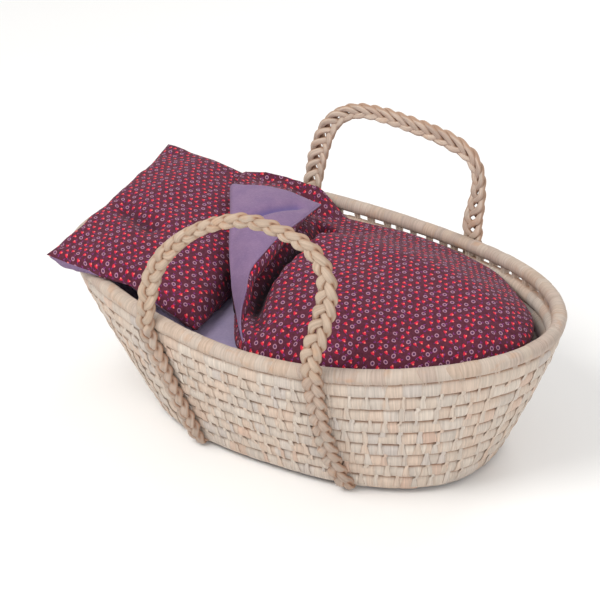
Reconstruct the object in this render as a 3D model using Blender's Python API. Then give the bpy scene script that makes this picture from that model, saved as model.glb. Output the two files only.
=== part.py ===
"""Doll's Moses basket: a coiled palm-leaf basket with two braided carrying
handles, braided straps that run down the sides and under the base, and a
mattress, a pillow and a duvet that lift out.

Metres, +Z up. +X is the foot end, -X the head end, -Y the near side.
Z = 0 is the surface that the two under-straps stand on, and the origin lies
on the basket's centre line."""

import math

import bmesh
import bpy
import numpy as np

# ---------------------------------------------------------------- dimensions
# Rim coil, measured on its centre line.
RIM_A = 0.2406  # half length
RIM_B = 0.1492  # half width
RIM_N = 1.956  # superellipse exponent, 2 is an ellipse
RIM_H = 0.130  # height over the underside of the coils
RIM_WAVE = (-0.0131, 0.0257, 0.0192, -0.0223)  # how the rim rises and dips along X
RIM_R = 0.0069  # thickness of the rim coil

# Base outline, measured on the centre line of the lowest wall row.
BASE_A = 0.1690
BASE_B = 0.1062
BASE_N = 2.37
BASE_SHIFT = 0.0193  # the base sits towards the foot end
COIL_R = 0.0067  # palm coil radius
WALL_BULGE = 0.0145  # share of the radius by which the wall bellies out
ROWS = 9  # wall rows under the rim
TOP_ROW = 0.865  # place of the top row, as a share of the wall from row 1 to the rim
ROW_POINTS = 38
GAP = 0.0003  # clearance between solids that touch

# Openwork lacing between the top row and the rim.
LACING_STITCHES = 76
LACING_R = 0.0014

# Braided straps and handles.
BRAID_W = 0.0190
BRAID_T = 0.0074
STRAP_T = 0.0070  # pressed flat under the base
LIFT_BASE = STRAP_T + GAP  # the coils stand this high on the straps
HINGE_UP = 0.0086  # hinge axis over the rim coil's centre line
STRAP_TOP = 0.0080  # straps stop this far under the hinge axis
NEAR_FEET = (-0.0785, 0.0850)
FAR_FEET = (-0.0824, 0.0911)
BASE_FEET = (-0.0560, 0.0960)
NEAR_ARCH = dict(rise=0.1169, head=1.35, foot=4.08, fatten_head=0.750, fatten_foot=0.062, lean=0.0105, skew=0.0235, slope=-0.0837)
FAR_ARCH = dict(rise=0.0821, head=3.83, foot=4.59, fatten_head=0.120, fatten_foot=-0.162, lean=0.0077, skew=0.0233, slope=-0.1542)

# Bedding.
MATTRESS_T = 0.098
MATTRESS_CLEAR = 0.0046  # to the inside of the wall
PILLOW_L = 0.168  # head to foot
PILLOW_W = 0.252  # across
PILLOW_T = 0.052
PILLOW_BELLY = 0.041  # how far its underside sags below its middle plane
PILLOW_AT = (-0.1395, 0.0010, 0.1545)
PILLOW_PITCH = math.radians(11.5)  # falls towards the foot end
PILLOW_YAW = math.radians(4.5)
DUVET_MIDDLE = (0.0500, 0.0)
DUVET_SIDE = 0.1500  # half width of the duvet
DUVET_CLEAR = 0.0060  # to the rim coil
DUVET_HEAD_FAR = (-0.1480, 0.1160)  # the slanting head edge, in plan
DUVET_HEAD_NEAR = (-0.0040, -0.1280)
DUVET_SEAM = 0.1340  # height of the edge seam along the rim
DUVET_CREST = 0.1760

PALM = (0.66, 0.53, 0.36)
PALM_PINK = (0.58, 0.44, 0.32)
PRINT = (0.145, 0.028, 0.055)
LILAC = (0.27, 0.20, 0.38)


# ------------------------------------------------------------------ geometry
def oval(t, a, b, n):
    """Superellipse points at the polar angles t."""
    c, s = np.cos(t), np.sin(t)
    r = ((np.abs(c) / a) ** n + (np.abs(s) / b) ** n) ** (-1.0 / n)
    return r * c, r * s


def rim_height(x):
    u = x / RIM_A
    w = RIM_WAVE
    return RIM_H + w[0] * u + w[1] * u**2 + w[2] * u**3 + w[3] * u**4


def wall(s, t):
    """Centre line of the wall: s = 0 on the lowest row, 1 on the rim coil."""
    t = np.asarray(t, float)
    # the angle is that of a unit oval, so that rows line up one over another
    c, k = np.cos(t), np.sin(t)
    ux, uy = oval(np.arctan2(k * RIM_B, c * RIM_A), RIM_A, RIM_B, RIM_N)
    bx, by = oval(np.arctan2(k * BASE_B, c * BASE_A), BASE_A, BASE_B, BASE_N)
    x = (bx + BASE_SHIFT) * (1 - s) + ux * s
    y = by * (1 - s) + uy * s
    z = COIL_R * (1 - s) + rim_height(ux) * s
    mid = BASE_SHIFT * (1 - s)
    belly = WALL_BULGE * 4 * s * (1 - s)
    x = x + (x - mid) * belly
    y = y + y * belly
    return np.stack([x, y, z + LIFT_BASE], -1)


def outward(s, t):
    """Unit normal of the wall, pointing out of the basket."""
    e = 1e-3
    along = wall(s, t + e) - wall(s, t - e)
    s0, s1 = max(s - e, 0.0), min(s + e, 1.0)
    rise = wall(s1, t) - wall(s0, t)
    n = np.cross(along, rise)
    return n / np.linalg.norm(n, axis=-1, keepdims=True)


def angle_at(s, x, side):
    """The angle where the wall at s stands at this x, on the side +1 or -1."""
    low, high = 0.0, math.pi
    for _ in range(60):
        mid = (low + high) / 2
        if wall(s, mid)[0] > x:
            low = mid
        else:
            high = mid
    return side * (low + high) / 2


def clearance(points, other):
    """Least distance from each point to the closed line `other`."""
    a = np.asarray(other)
    b = np.roll(a, -1, 0)
    d = b - a
    t = np.einsum("pij,ij->pi", points[:, None] - a[None], d) / (d * d).sum(1)
    t = np.clip(t, 0, 1)[..., None]
    return np.linalg.norm(points[:, None] - (a + t * d), axis=2).min(1)


def smooth_path(points, count):
    """Catmull-Rom line through the points, resampled at equal lengths."""
    p = np.asarray(points, float)
    p = np.vstack([2 * p[0] - p[1], p, 2 * p[-1] - p[-2]])
    out = []
    for i in range(1, len(p) - 2):
        for t in np.linspace(0, 1, 24, endpoint=False):
            a, b, c, d = p[i - 1], p[i], p[i + 1], p[i + 2]
            out.append(
                0.5
                * (
                    2 * b
                    + (c - a) * t
                    + (2 * a - 5 * b + 4 * c - d) * t**2
                    + (3 * b - a - 3 * c + d) * t**3
                )
            )
    out.append(p[-2])
    return resample(np.array(out), count)


def resample(line, count):
    step = np.linalg.norm(np.diff(line, axis=0), axis=1)
    at = np.concatenate([[0], np.cumsum(step)])
    want = np.linspace(0, at[-1], count)
    return np.stack([np.interp(want, at, line[:, k]) for k in range(3)], 1)


# ------------------------------------------------------------ scene helpers
def clear_scene():
    for obj in list(bpy.data.objects):
        bpy.data.objects.remove(obj, do_unlink=True)


def material(name, colour, roughness):
    mat = bpy.data.materials.new(name)
    mat.use_nodes = True
    shader = mat.node_tree.nodes["Principled BSDF"]
    shader.inputs["Base Color"].default_value = (*colour, 1)
    shader.inputs["Roughness"].default_value = roughness
    shader.inputs["Metallic"].default_value = 0.0
    mat.diffuse_color = (*colour, 1)
    return mat


def tube(name, points, radius, mat, into, cyclic=False, scale=None, sides=2, profile=None, tilt=None):
    """A curve object along the points, round or with the profile's section."""
    data = bpy.data.curves.new(name, "CURVE")
    data.dimensions = "3D"
    data.twist_mode = "Z_UP" if profile is None else "MINIMUM"
    spline = data.splines.new("POLY")
    spline.points.add(len(points) - 1)
    for i, p in enumerate(points):
        spline.points[i].co = (*[float(v) for v in p], 1)
        if scale is not None:
            spline.points[i].radius = float(scale[i])
        if tilt is not None:
            spline.points[i].tilt = float(tilt[i])
    spline.use_cyclic_u = cyclic
    spline.use_smooth = True
    if profile is None:
        data.bevel_depth = radius
        data.bevel_resolution = sides
    else:
        data.bevel_mode = "OBJECT"
        data.bevel_object = profile
    data.use_fill_caps = not cyclic
    data.materials.append(mat)
    obj = bpy.data.objects.new(name, data)
    into.objects.link(obj)
    return obj


def strap(name, points, normals, width, thick, mat, into, flat_below=False):
    """A flat braid's envelope: an eight-sided section swept along the points,
    its broad side square to the normals. A curve's own twist can't follow the
    wall, so the section is lofted."""
    pts = np.asarray(points, float)
    tan = np.gradient(pts, axis=0)
    tan /= np.linalg.norm(tan, axis=1, keepdims=True)
    nor = np.asarray(normals, float)
    nor = nor - (nor * tan).sum(1, keepdims=True) * tan
    nor /= np.linalg.norm(nor, axis=1, keepdims=True)
    wide = np.cross(tan, nor)
    w, t = width / 2, thick / 2
    c = 0.42 * t
    section = [(-w + c, -t), (w - c, -t), (w, -t + c), (w, t - c), (w - c, t), (-w + c, t), (-w, t - c), (-w, -t + c)]
    verts, faces = [], []
    for p, u, v in zip(pts, wide, nor):
        verts += [tuple(p + u * a + v * b) for a, b in section]
    m = len(section)
    for i in range(len(pts) - 1):
        for j in range(m):
            k = (j + 1) % m
            faces.append((i * m + j, i * m + k, (i + 1) * m + k, (i + 1) * m + j))
    faces.append(tuple(reversed(range(m))))
    faces.append(tuple((len(pts) - 1) * m + j for j in range(m)))
    return mesh_object(name, verts, faces, mat, into)


def mesh_object(name, verts, faces, mat, into, smooth=True):
    mesh = bpy.data.meshes.new(name)
    mesh.from_pydata([tuple(map(float, v)) for v in verts], [], faces)
    bm = bmesh.new()
    bm.from_mesh(mesh)
    bmesh.ops.recalc_face_normals(bm, faces=bm.faces)
    if bm.calc_volume(signed=True) < 0:
        bmesh.ops.reverse_faces(bm, faces=bm.faces)
    bm.to_mesh(mesh)
    bm.free()
    mesh.materials.append(mat)
    if smooth:
        mesh.shade_smooth()
        mesh.set_sharp_from_angle(angle=math.radians(50))
    obj = bpy.data.objects.new(name, mesh)
    into.objects.link(obj)
    return obj


def hung_on(obj, pivot):
    """Parents obj to an empty on its joint axis, leaving it where it is."""
    obj.parent = pivot
    obj.matrix_parent_inverse = pivot.matrix_world.inverted()


def pivot(name, at, into):
    empty = bpy.data.objects.new(name, None)
    empty.location = at
    empty.empty_display_size = 0.02
    into.objects.link(empty)
    bpy.context.view_layer.update()
    return empty


# ------------------------------------------------------------------- basket
def basket_rows(mat, into):
    """The wall rows, the rim coil and their centre lines."""
    t = np.linspace(0, 2 * math.pi, ROW_POINTS, endpoint=False)
    shares = [TOP_ROW * k / (ROWS - 1) for k in range(ROWS)]
    lines = [wall(s, t) for s in shares]
    for k, line in enumerate(lines):
        free = np.full(len(t), 2 * COIL_R + GAP)
        for near in (k - 1, k + 1):
            if 0 <= near < ROWS:
                free = np.minimum(free, clearance(line, lines[near]))
        # a row is as thick as its closest neighbour allows
        radius = (free - GAP) / 2
        radius = np.minimum.reduce([radius, np.roll(radius, 1), np.roll(radius, -1)])
        tube(f"wall_row_{k + 1}", line, COIL_R, mat, into, cyclic=True, scale=radius / COIL_R)
    rim = wall(1.0, t)
    tube("rim_coil", rim, RIM_R, mat, into, cyclic=True)
    return lines, rim


def lacing(lines, rim, mat, into):
    """One cord that zigzags in the open band between the top row and the rim."""
    count = 2 * LACING_STITCHES
    t = np.linspace(0, 2 * math.pi, count, endpoint=False)
    top = wall(TOP_ROW, t)
    edge = wall(1.0, t)
    gap = np.linalg.norm(edge - top, axis=1)
    low = (COIL_R + GAP + LACING_R + 0.0004) / gap
    high = 1 - (RIM_R + GAP + LACING_R + 0.0004) / gap
    share = np.where(np.arange(count) % 2, low, high)[:, None]
    points = top * (1 - share) + edge * share
    tube("rim_lacing", points, LACING_R, mat, into, cyclic=True, sides=0)


def inner_oval(t, inset):
    """The lowest row's outline moved in by `inset`, along the angles t."""
    ring = np.linspace(0, 2 * math.pi, 720, endpoint=False)
    outline = np.stack(oval(ring, BASE_A, BASE_B, BASE_N), 1)
    nxt = np.roll(outline, -1, 0)
    edge = nxt - outline
    normal = np.stack([-edge[:, 1], edge[:, 0]], 1)
    normal /= np.linalg.norm(normal, axis=1, keepdims=True)
    # distance to a convex outline is the least distance to its edge lines
    c, s = np.cos(t), np.sin(t)
    out = []
    for ci, si, d in zip(c, s, inset):
        along = normal[:, 0] * ci + normal[:, 1] * si
        free = -(normal * outline).sum(1)
        with np.errstate(divide="ignore", invalid="ignore"):
            reach = np.where(along < -1e-9, (free - d) / -along, np.inf)
        r = reach.min()
        out.append((r * ci, r * si))
    return np.array(out)


def base(mat, into):
    """The flat oval base: one coil wound outwards from a straight core."""
    pitch = 2 * COIL_R + 0.0003
    per = 30
    # the last pass lies in the middle and ends at a tip
    turns = math.floor(2 * ((BASE_B - 0.22 * pitch) / pitch - 1.02)) / 2
    u = np.arange(int(turns * per) + 1) / per
    inset = pitch * (1.02 + u)
    core = BASE_A - BASE_B
    half = np.maximum(BASE_B - inset, 0.004)
    a = 2 * math.pi * u + math.pi
    # angles spread along the long sides of the thin inner turns
    t = np.arctan2(half * np.sin(a), (half + core) * np.cos(a))
    xy = inner_oval(t, inset)
    line = np.stack([xy[:, 0] + BASE_SHIFT, xy[:, 1], np.full(len(xy), COIL_R + LIFT_BASE)], 1)
    tube("base_coil", line, COIL_R - 0.0004, mat, into, sides=1)
    return line


# ---------------------------------------------------------- straps, handles
def strap_line(x_top, side, x_low, stop_z):
    """Centre line and normals of a strap, from the top down the outside."""
    pts, nors = [], []
    for s in np.linspace(1.0, 0.0, 15):
        x = x_low + (x_top - x_low) * s**1.15
        t = angle_at(s, x, side)
        n = outward(s, t)
        reach = (RIM_R if s > 0.93 else COIL_R) + GAP + BRAID_T / 2 + 0.0002
        reach += (RIM_R - COIL_R) * max(0.0, min(1.0, (s - 0.75) / 0.18)) if s <= 0.93 else 0
        pts.append(wall(s, t) + n * reach)
        nors.append(n)
    pts, nors = np.array(pts), np.array(nors)
    # the top stands straight up beside the rim
    top = pts[0].copy()
    top[2] = stop_z
    if stop_z > pts[0][2]:
        pts = np.vstack([top, pts])
        nors = np.vstack([nors[0], nors])
    else:
        k = np.searchsorted(-pts[:, 2], -stop_z)
        f = (stop_z - pts[k][2]) / (pts[k - 1][2] - pts[k][2])
        cut = pts[k] + (pts[k - 1] - pts[k]) * f
        pts = np.vstack([cut, pts[k:]])
        nors = np.vstack([nors[0], nors[k:]])
    return pts, nors


def hinge_of(feet, side):
    """The point midway between a handle's feet, on its hinge axis."""
    out = []
    for x in feet:
        t = angle_at(1.0, x, side)
        p = wall(1.0, t)
        reach = RIM_R + GAP + BRAID_T / 2 + 0.0004
        out.append((x, p[1] + side * reach, p[2] + HINGE_UP))
    (x0, y0, z0), (x1, y1, z1) = out
    return (x0 + x1) / 2, side * max(abs(y0), abs(y1)), max(z0, z1)


def arch(feet, side, rise, head, foot, fatten_head, fatten_foot, lean, skew, slope):
    """Centre line of a handle, from foot to foot over the top."""
    xm, y0, z0 = hinge_of(feet, side)
    half = (feet[1] - feet[0]) / 2
    a = np.linspace(0, math.pi, 241)
    c, s = -np.cos(a), np.sin(a)
    power = np.where(c < 0, head, foot)
    bulge = np.where(c < 0, fatten_head, fatten_foot)
    u = np.sign(c) * np.abs(c) ** (2 / power)
    w = np.abs(s) ** (2 / power)
    line = np.stack(
        [
            xm + half * u * (1 + bulge * w) + skew * w,
            y0 + lean * w,
            z0 + rise * w * (1 + slope * u),
        ],
        1,
    )
    return resample(line, 35)


def straps_and_handles(mat, pink, into):
    sides = (("near", -1, NEAR_FEET, NEAR_ARCH, mat), ("far", 1, FAR_FEET, FAR_ARCH, pink))
    ends = {}
    for name, side, feet, shape, own in sides:
        xm, y0, z0 = hinge_of(feet, side)
        for where, x_top, x_low in zip(("head", "foot"), feet, BASE_FEET):
            pts, nors = strap_line(x_top, side, x_low, z0 - STRAP_TOP)
            # the strap proper stops where it turns under the base
            keep = pts[:, 2] > COIL_R + LIFT_BASE + 0.004
            line = resample(pts[keep], 13)
            idx = np.linspace(0, keep.sum() - 1, 13)
            nn = np.stack([np.interp(idx, np.arange(keep.sum()), nors[keep][:, k]) for k in range(3)], 1)
            strap(f"{name}_{where}_strap", line, nn, BRAID_W, BRAID_T, own, into)
            ends[name, where] = (line[-1], line[-1] - line[-2], nn[-1])
        arc = arch(feet, side, **shape)
        mid = arc.mean(0)
        flat = np.tile((0.0, 1.0, 0.0), (len(arc), 1))
        piece = strap(f"{name}_handle", arc, flat, BRAID_W, BRAID_T, own, into)
        hung_on(piece, pivot(f"{name}_handle_axis", (xm, y0, z0), into))
    for where in ("head", "foot"):
        under_strap(where, ends["near", where], ends["far", where], mat, into)


def under_strap(where, near, far, mat, into):
    """The strap that crosses under the base, from one side strap to the other."""
    halves, facing = [], []
    for end, run, face in (near, far):
        side = 1 if end[1] > 0 else -1
        run = run / np.linalg.norm(run)
        start = end + run * (GAP + 0.0003)
        t = angle_at(0.0, start[0], side)
        centre = wall(0.0, t)
        reach = COIL_R + GAP + STRAP_T / 2
        n = outward(0.0, t)
        flat = np.array((n[0], n[1], 0.0))
        flat /= np.linalg.norm(flat)
        first = math.atan2(n[2], math.hypot(n[0], n[1])) - 0.12
        pts, nors = [start, start + run * 0.0022], [face, face]
        for a in np.linspace(first, -math.pi / 2, 6):
            face = flat * math.cos(a) + np.array((0, 0, math.sin(a)))
            pts.append(centre + face * reach)
            nors.append(face)
        halves.append(pts)
        facing.append(nors)
    line = np.array(halves[0] + halves[1][::-1])
    nors = np.array(facing[0] + facing[1][::-1])
    strap(f"{where}_under_strap", line, nors, BRAID_W, STRAP_T, mat, into)


# ------------------------------------------------------------------ bedding
def mattress(mat, into):
    """A thick pad with slanted sides, cut to the basket's inside."""
    z0 = LIFT_BASE + 2 * COIL_R + 0.0010
    t = np.linspace(0, 2 * math.pi, 40, endpoint=False)
    rows = []
    for f, tuck in ((0.0, 0.006), (0.12, 0.0015), (0.5, 0.0), (0.88, 0.0015), (1.0, 0.006)):
        z = z0 + MATTRESS_T * f
        s = (z - LIFT_BASE - COIL_R) / (RIM_H - COIL_R)
        ring = wall(s, t)
        n = outward(s, t)
        ring = ring - n * (COIL_R + MATTRESS_CLEAR + tuck)
        ring[:, 2] = z
        rows.append(ring)
    loft("mattress", rows, mat, into)
    return z0, z0 + MATTRESS_T


def loft(name, rows, mat, into):
    m = len(rows[0])
    verts = [tuple(p) for row in rows for p in row]
    faces = []
    for i in range(len(rows) - 1):
        for j in range(m):
            k = (j + 1) % m
            faces.append((i * m + j, i * m + k, (i + 1) * m + k, (i + 1) * m + j))
    faces.append(tuple(reversed(range(m))))
    faces.append(tuple((len(rows) - 1) * m + j for j in range(m)))
    return mesh_object(name, verts, faces, mat, into)


def over_rim(x, y):
    """The lowest height that clears the rim coil at this place in plan."""
    t = np.linspace(0, 2 * math.pi, 361)[:-1]
    ring = wall(1.0, t)
    away = np.hypot(ring[:, 0] - x, ring[:, 1] - y)
    k = int(away.argmin())
    centre = np.array((BASE_SHIFT, 0.0))
    inside = math.hypot(x - centre[0], y) < math.hypot(ring[k, 0] - centre[0], ring[k, 1])
    top = ring[k, 2] + RIM_R + 0.0022
    if not inside:
        return top
    return top - 1.15 * max(0.0, away[k] - 1.5 * RIM_R)


def pillow_point(u, v, mattress_top):
    """Place in plan, underside and top of the pillow at u, v in -1..1."""
    cp, sp = math.cos(PILLOW_PITCH), math.sin(PILLOW_PITCH)
    cy, sy = math.cos(PILLOW_YAW), math.sin(PILLOW_YAW)
    full = (1 - abs(u) ** 2.6) ** 0.7 * (1 - abs(v) ** 2.6) ** 0.7
    # the sides pull in between the corners
    a = u * PILLOW_L / 2 * (1 - 0.035 * (1 - v * v))
    b = v * PILLOW_W / 2 * (1 - 0.03 * (1 - u * u))
    x = PILLOW_AT[0] + a * cp * cy - b * sy
    y = PILLOW_AT[1] + a * cp * sy + b * cy
    middle = PILLOW_AT[2] - a * sp
    low = max(middle - full * PILLOW_BELLY, over_rim(x, y), mattress_top + 0.0008)
    high = max(middle + full * PILLOW_T / 2, low + full * PILLOW_T * 0.45)
    return x, y, low, high


def pillow(mat, into, mattress_top):
    """A filled rectangular case: thin along its edges, full in the middle. Its
    head end lies on the rim and its middle on the mattress."""
    nx, ny = 12, 18
    verts, index = [], {}
    for i in range(nx + 1):
        for j in range(ny + 1):
            x, y, low, high = pillow_point(2 * i / nx - 1, 2 * j / ny - 1, mattress_top)
            index[1, i, j] = index[-1, i, j] = len(verts)
            verts.append((x, y, high))
            if i not in (0, nx) and j not in (0, ny):
                index[-1, i, j] = len(verts)
                verts.append((x, y, low))
    faces = []
    for side in (1, -1):
        for i in range(nx):
            for j in range(ny):
                quad = [index[side, i, j], index[side, i + 1, j], index[side, i + 1, j + 1], index[side, i, j + 1]]
                faces.append(tuple(quad if side > 0 else quad[::-1]))
    at = np.array(PILLOW_AT)
    obj = mesh_object("pillow", np.array(verts) - at, faces, mat, into)
    obj.location = PILLOW_AT
    return np.array(verts)


def duvet(mat, into, mattress_top, pillow_points):
    """The filled duvet over the foot two thirds. Its head edge runs aslant,
    from near the middle on the near side to over the pillow on the far side."""
    count, rings = 36, 8
    centre = np.array(DUVET_MIDDLE)
    head = np.array(DUVET_HEAD_FAR) - np.array(DUVET_HEAD_NEAR)
    square = np.array((-head[1], head[0]))
    square /= np.linalg.norm(square)
    if square @ (np.array(DUVET_HEAD_FAR) - centre) < 0:
        square = -square
    depth = square @ (np.array(DUVET_HEAD_FAR) - centre)
    ring = wall(1.0, np.linspace(0, 2 * math.pi, 361)[:-1])
    ring_angle = np.arctan2(ring[:, 1] - centre[1], ring[:, 0] - centre[0])
    ring_reach = np.hypot(ring[:, 0] - centre[0], ring[:, 1] - centre[1])
    order = np.argsort(ring_angle)
    outline = []
    for k in range(count):
        a = 2 * math.pi * k / count
        way = np.array((math.cos(a), math.sin(a)))
        limits = [np.interp(a if a < math.pi else a - 2 * math.pi, ring_angle[order], ring_reach[order], period=2 * math.pi)]
        limits[0] -= RIM_R + DUVET_CLEAR
        if way @ square > 0.05:
            limits.append(depth / (way @ square))
        if abs(way[1]) > 0.05:
            limits.append(DUVET_SIDE / abs(way[1]))
        # a soft minimum rounds the corners
        limits = np.array(limits)
        outline.append((limits**-14.0).sum() ** (-1 / 14.0))
    top_verts, low_verts = [], []
    for i in range(rings):
        f = math.sin(math.pi / 2 * (i + 1) / rings)
        for k in range(count):
            a = 2 * math.pi * k / count
            x = centre[0] + outline[k] * f * math.cos(a)
            y = centre[1] + outline[k] * f * math.sin(a)
            full = (1 - f**2.4) ** 0.62
            away = np.hypot(pillow_points[:, 0] - x, pillow_points[:, 1] - y)
            over_pillow = (pillow_points[:, 2] + 0.0025 - 1.1 * np.maximum(away - 0.011, 0)).max()
            floor = max(mattress_top + 0.0008, over_pillow)
            seam = max(DUVET_SEAM, floor + 0.004)
            low = max(seam - full * (DUVET_SEAM - mattress_top + 0.02), floor)
            crest = DUVET_CREST + 0.010 * max(0.0, min(1.0, (0.0 - x) / 0.08))
            high = max(seam + full * (crest - DUVET_SEAM), low + 0.006)
            top_verts.append((x, y, high))
            low_verts.append((x, y, low))
    verts, faces = [], []
    verts.append((centre[0], centre[1], DUVET_CREST))
    verts.append((centre[0], centre[1], mattress_top + 0.0008))
    verts += top_verts
    first_low = len(verts)
    verts += low_verts
    for k in range(count):
        n = (k + 1) % count
        faces.append((0, 2 + k, 2 + n))
        faces.append((1, first_low + n, first_low + k))
        for i in range(rings - 1):
            p, q = 2 + i * count, 2 + (i + 1) * count
            faces.append((p + k, q + k, q + n, p + n))
            p, q = first_low + i * count, first_low + (i + 1) * count
            faces.append((p + k, p + n, q + n, q + k))
        p, q = 2 + (rings - 1) * count, first_low + (rings - 1) * count
        faces.append((p + k, q + k, q + n, p + n))
    mesh_object("duvet", verts, faces, mat, into)


def main():
    clear_scene()
    parts = bpy.data.collections.new("moses_basket")
    bpy.context.scene.collection.children.link(parts)
    palm = material("palm_leaf", PALM, 0.65)
    pink = material("palm_leaf_pink", PALM_PINK, 0.65)
    printed = material("printed_cotton", PRINT, 0.85)
    lilac = material("lilac_cotton", LILAC, 0.85)
    lines, rim = basket_rows(palm, parts)
    lacing(lines, rim, palm, parts)
    base(palm, parts)
    straps_and_handles(palm, pink, parts)
    _, top = mattress(lilac, parts)
    case = pillow(printed, parts, top)
    duvet(printed, parts, top, case)
    bpy.context.view_layer.update()


main()
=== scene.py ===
"""Looks of the doll's Moses basket: wrapped palm-leaf coils, interlaced braids
and stuffed bedding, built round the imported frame."""

import math

import bpy
import numpy as np
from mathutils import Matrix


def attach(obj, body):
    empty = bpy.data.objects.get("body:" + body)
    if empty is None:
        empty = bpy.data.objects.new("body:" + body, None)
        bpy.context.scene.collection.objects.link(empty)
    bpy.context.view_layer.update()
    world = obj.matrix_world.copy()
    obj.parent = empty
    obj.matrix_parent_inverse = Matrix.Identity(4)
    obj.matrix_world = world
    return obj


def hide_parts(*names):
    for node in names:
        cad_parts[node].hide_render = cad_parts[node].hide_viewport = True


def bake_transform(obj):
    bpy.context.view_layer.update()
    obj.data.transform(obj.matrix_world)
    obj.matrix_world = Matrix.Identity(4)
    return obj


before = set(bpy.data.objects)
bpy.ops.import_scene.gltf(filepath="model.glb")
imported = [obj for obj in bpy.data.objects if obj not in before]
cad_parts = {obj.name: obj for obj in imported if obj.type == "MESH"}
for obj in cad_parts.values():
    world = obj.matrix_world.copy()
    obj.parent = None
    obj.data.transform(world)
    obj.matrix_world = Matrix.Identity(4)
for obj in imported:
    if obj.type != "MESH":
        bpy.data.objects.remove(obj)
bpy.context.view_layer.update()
scene = bpy.context.scene

# ------------------------------------------------------------- dimensions
RIM_A, RIM_B, RIM_N, RIM_H = 0.2406, 0.1492, 1.956, 0.130
RIM_WAVE = (-0.0131, 0.0257, 0.0192, -0.0223)
RIM_R = 0.0069
BASE_A, BASE_B, BASE_N, BASE_SHIFT = 0.1690, 0.1062, 2.37, 0.0193
COIL_R = 0.0067
WALL_BULGE = 0.0145
ROWS = 9
TOP_ROW = 0.865
GAP = 0.0003
LACING_STITCHES = 76
BRAID_W, BRAID_T, STRAP_T = 0.0190, 0.0074, 0.0070
LIFT_BASE = STRAP_T + GAP
HINGE_UP = 0.0086
NEAR_FEET = (-0.0785, 0.0850)
FAR_FEET = (-0.0824, 0.0911)
BASE_FEET = (-0.0560, 0.0960)
NEAR_ARCH = dict(rise=0.1169, head=1.35, foot=4.08, fatten_head=0.750, fatten_foot=0.062, lean=0.0105, skew=0.0235, slope=-0.0837)
FAR_ARCH = dict(rise=0.0821, head=3.83, foot=4.59, fatten_head=0.120, fatten_foot=-0.162, lean=0.0077, skew=0.0233, slope=-0.1542)
MATTRESS_T = 0.098
MATTRESS_CLEAR = 0.0046
MATTRESS_Z0 = LIFT_BASE + 2 * COIL_R + 0.0010
MATTRESS_TOP = MATTRESS_Z0 + MATTRESS_T
PILLOW_L, PILLOW_W, PILLOW_T, PILLOW_BELLY = 0.168, 0.252, 0.052, 0.041
PILLOW_AT = (-0.1395, 0.0010, 0.1545)
PILLOW_PITCH, PILLOW_YAW = math.radians(11.5), math.radians(4.5)
DUVET_MIDDLE = (0.0500, 0.0)
DUVET_SIDE = 0.1600
DUVET_CLEAR = 0.0046
DUVET_HEAD_FAR = (-0.1480, 0.1160)
DUVET_HEAD_NEAR = (-0.0040, -0.1280)
DUVET_SEAM = 0.1335
DUVET_CREST = 0.1770


# --------------------------------------------------------------- geometry
def oval(t, a, b, n):
    c, s = np.cos(t), np.sin(t)
    r = ((np.abs(c) / a) ** n + (np.abs(s) / b) ** n) ** (-1.0 / n)
    return r * c, r * s


def rim_height(x):
    u = x / RIM_A
    w = RIM_WAVE
    return RIM_H + w[0] * u + w[1] * u**2 + w[2] * u**3 + w[3] * u**4


def wall(s, t):
    """Centre line of the wall: s = 0 on the lowest row, 1 on the rim coil."""
    t = np.asarray(t, float)
    c, k = np.cos(t), np.sin(t)
    ux, uy = oval(np.arctan2(k * RIM_B, c * RIM_A), RIM_A, RIM_B, RIM_N)
    bx, by = oval(np.arctan2(k * BASE_B, c * BASE_A), BASE_A, BASE_B, BASE_N)
    x = (bx + BASE_SHIFT) * (1 - s) + ux * s
    y = by * (1 - s) + uy * s
    z = COIL_R * (1 - s) + rim_height(ux) * s
    mid = BASE_SHIFT * (1 - s)
    belly = WALL_BULGE * 4 * s * (1 - s)
    x = x + (x - mid) * belly
    y = y + y * belly
    return np.stack([x, y, z + LIFT_BASE], -1)


def unit(v):
    return v / np.maximum(np.linalg.norm(v, axis=-1, keepdims=True), 1e-12)


def outward(s, t):
    e = 1e-3
    along = wall(s, t + e) - wall(s, t - e)
    s0, s1 = np.maximum(s - e, 0.0), np.minimum(s + e, 1.0)
    rise = wall(s1, t) - wall(s0, t)
    return unit(np.cross(along, rise))


def angle_at(s, x, side):
    low, high = 0.0, math.pi
    for _ in range(60):
        mid = (low + high) / 2
        if wall(s, mid)[0] > x:
            low = mid
        else:
            high = mid
    return side * (low + high) / 2


def resample(line, count):
    step = np.linalg.norm(np.diff(line, axis=0), axis=1)
    at = np.concatenate([[0], np.cumsum(step)])
    want = np.linspace(0, at[-1], count)
    return np.stack([np.interp(want, at, line[:, k]) for k in range(line.shape[1])], 1)


def smooth_line(points, count):
    """Catmull-Rom line through the points, resampled at equal lengths."""
    p = np.asarray(points, float)
    p = np.vstack([2 * p[0] - p[1], p, 2 * p[-1] - p[-2]])
    out = []
    for i in range(1, len(p) - 2):
        for t in np.linspace(0, 1, 24, endpoint=False):
            a, b, c, d = p[i - 1], p[i], p[i + 1], p[i + 2]
            out.append(0.5 * (2 * b + (c - a) * t + (2 * a - 5 * b + 4 * c - d) * t**2 + (3 * b - a - 3 * c + d) * t**3))
    out.append(p[-2])
    return resample(np.array(out), count)


def blur(line, width):
    """Gaussian smoothing along an open line, ends held."""
    k = np.arange(-3 * width, 3 * width + 1)
    g = np.exp(-0.5 * (k / width) ** 2)
    g /= g.sum()
    pad = 3 * width
    head = 2 * line[0] - line[1 : pad + 1][::-1]
    tail = 2 * line[-1] - line[-pad - 1 : -1][::-1]
    full = np.vstack([head, line, tail])
    return np.stack([np.convolve(full[:, j], g, "valid") for j in range(line.shape[1])], 1)


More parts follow.
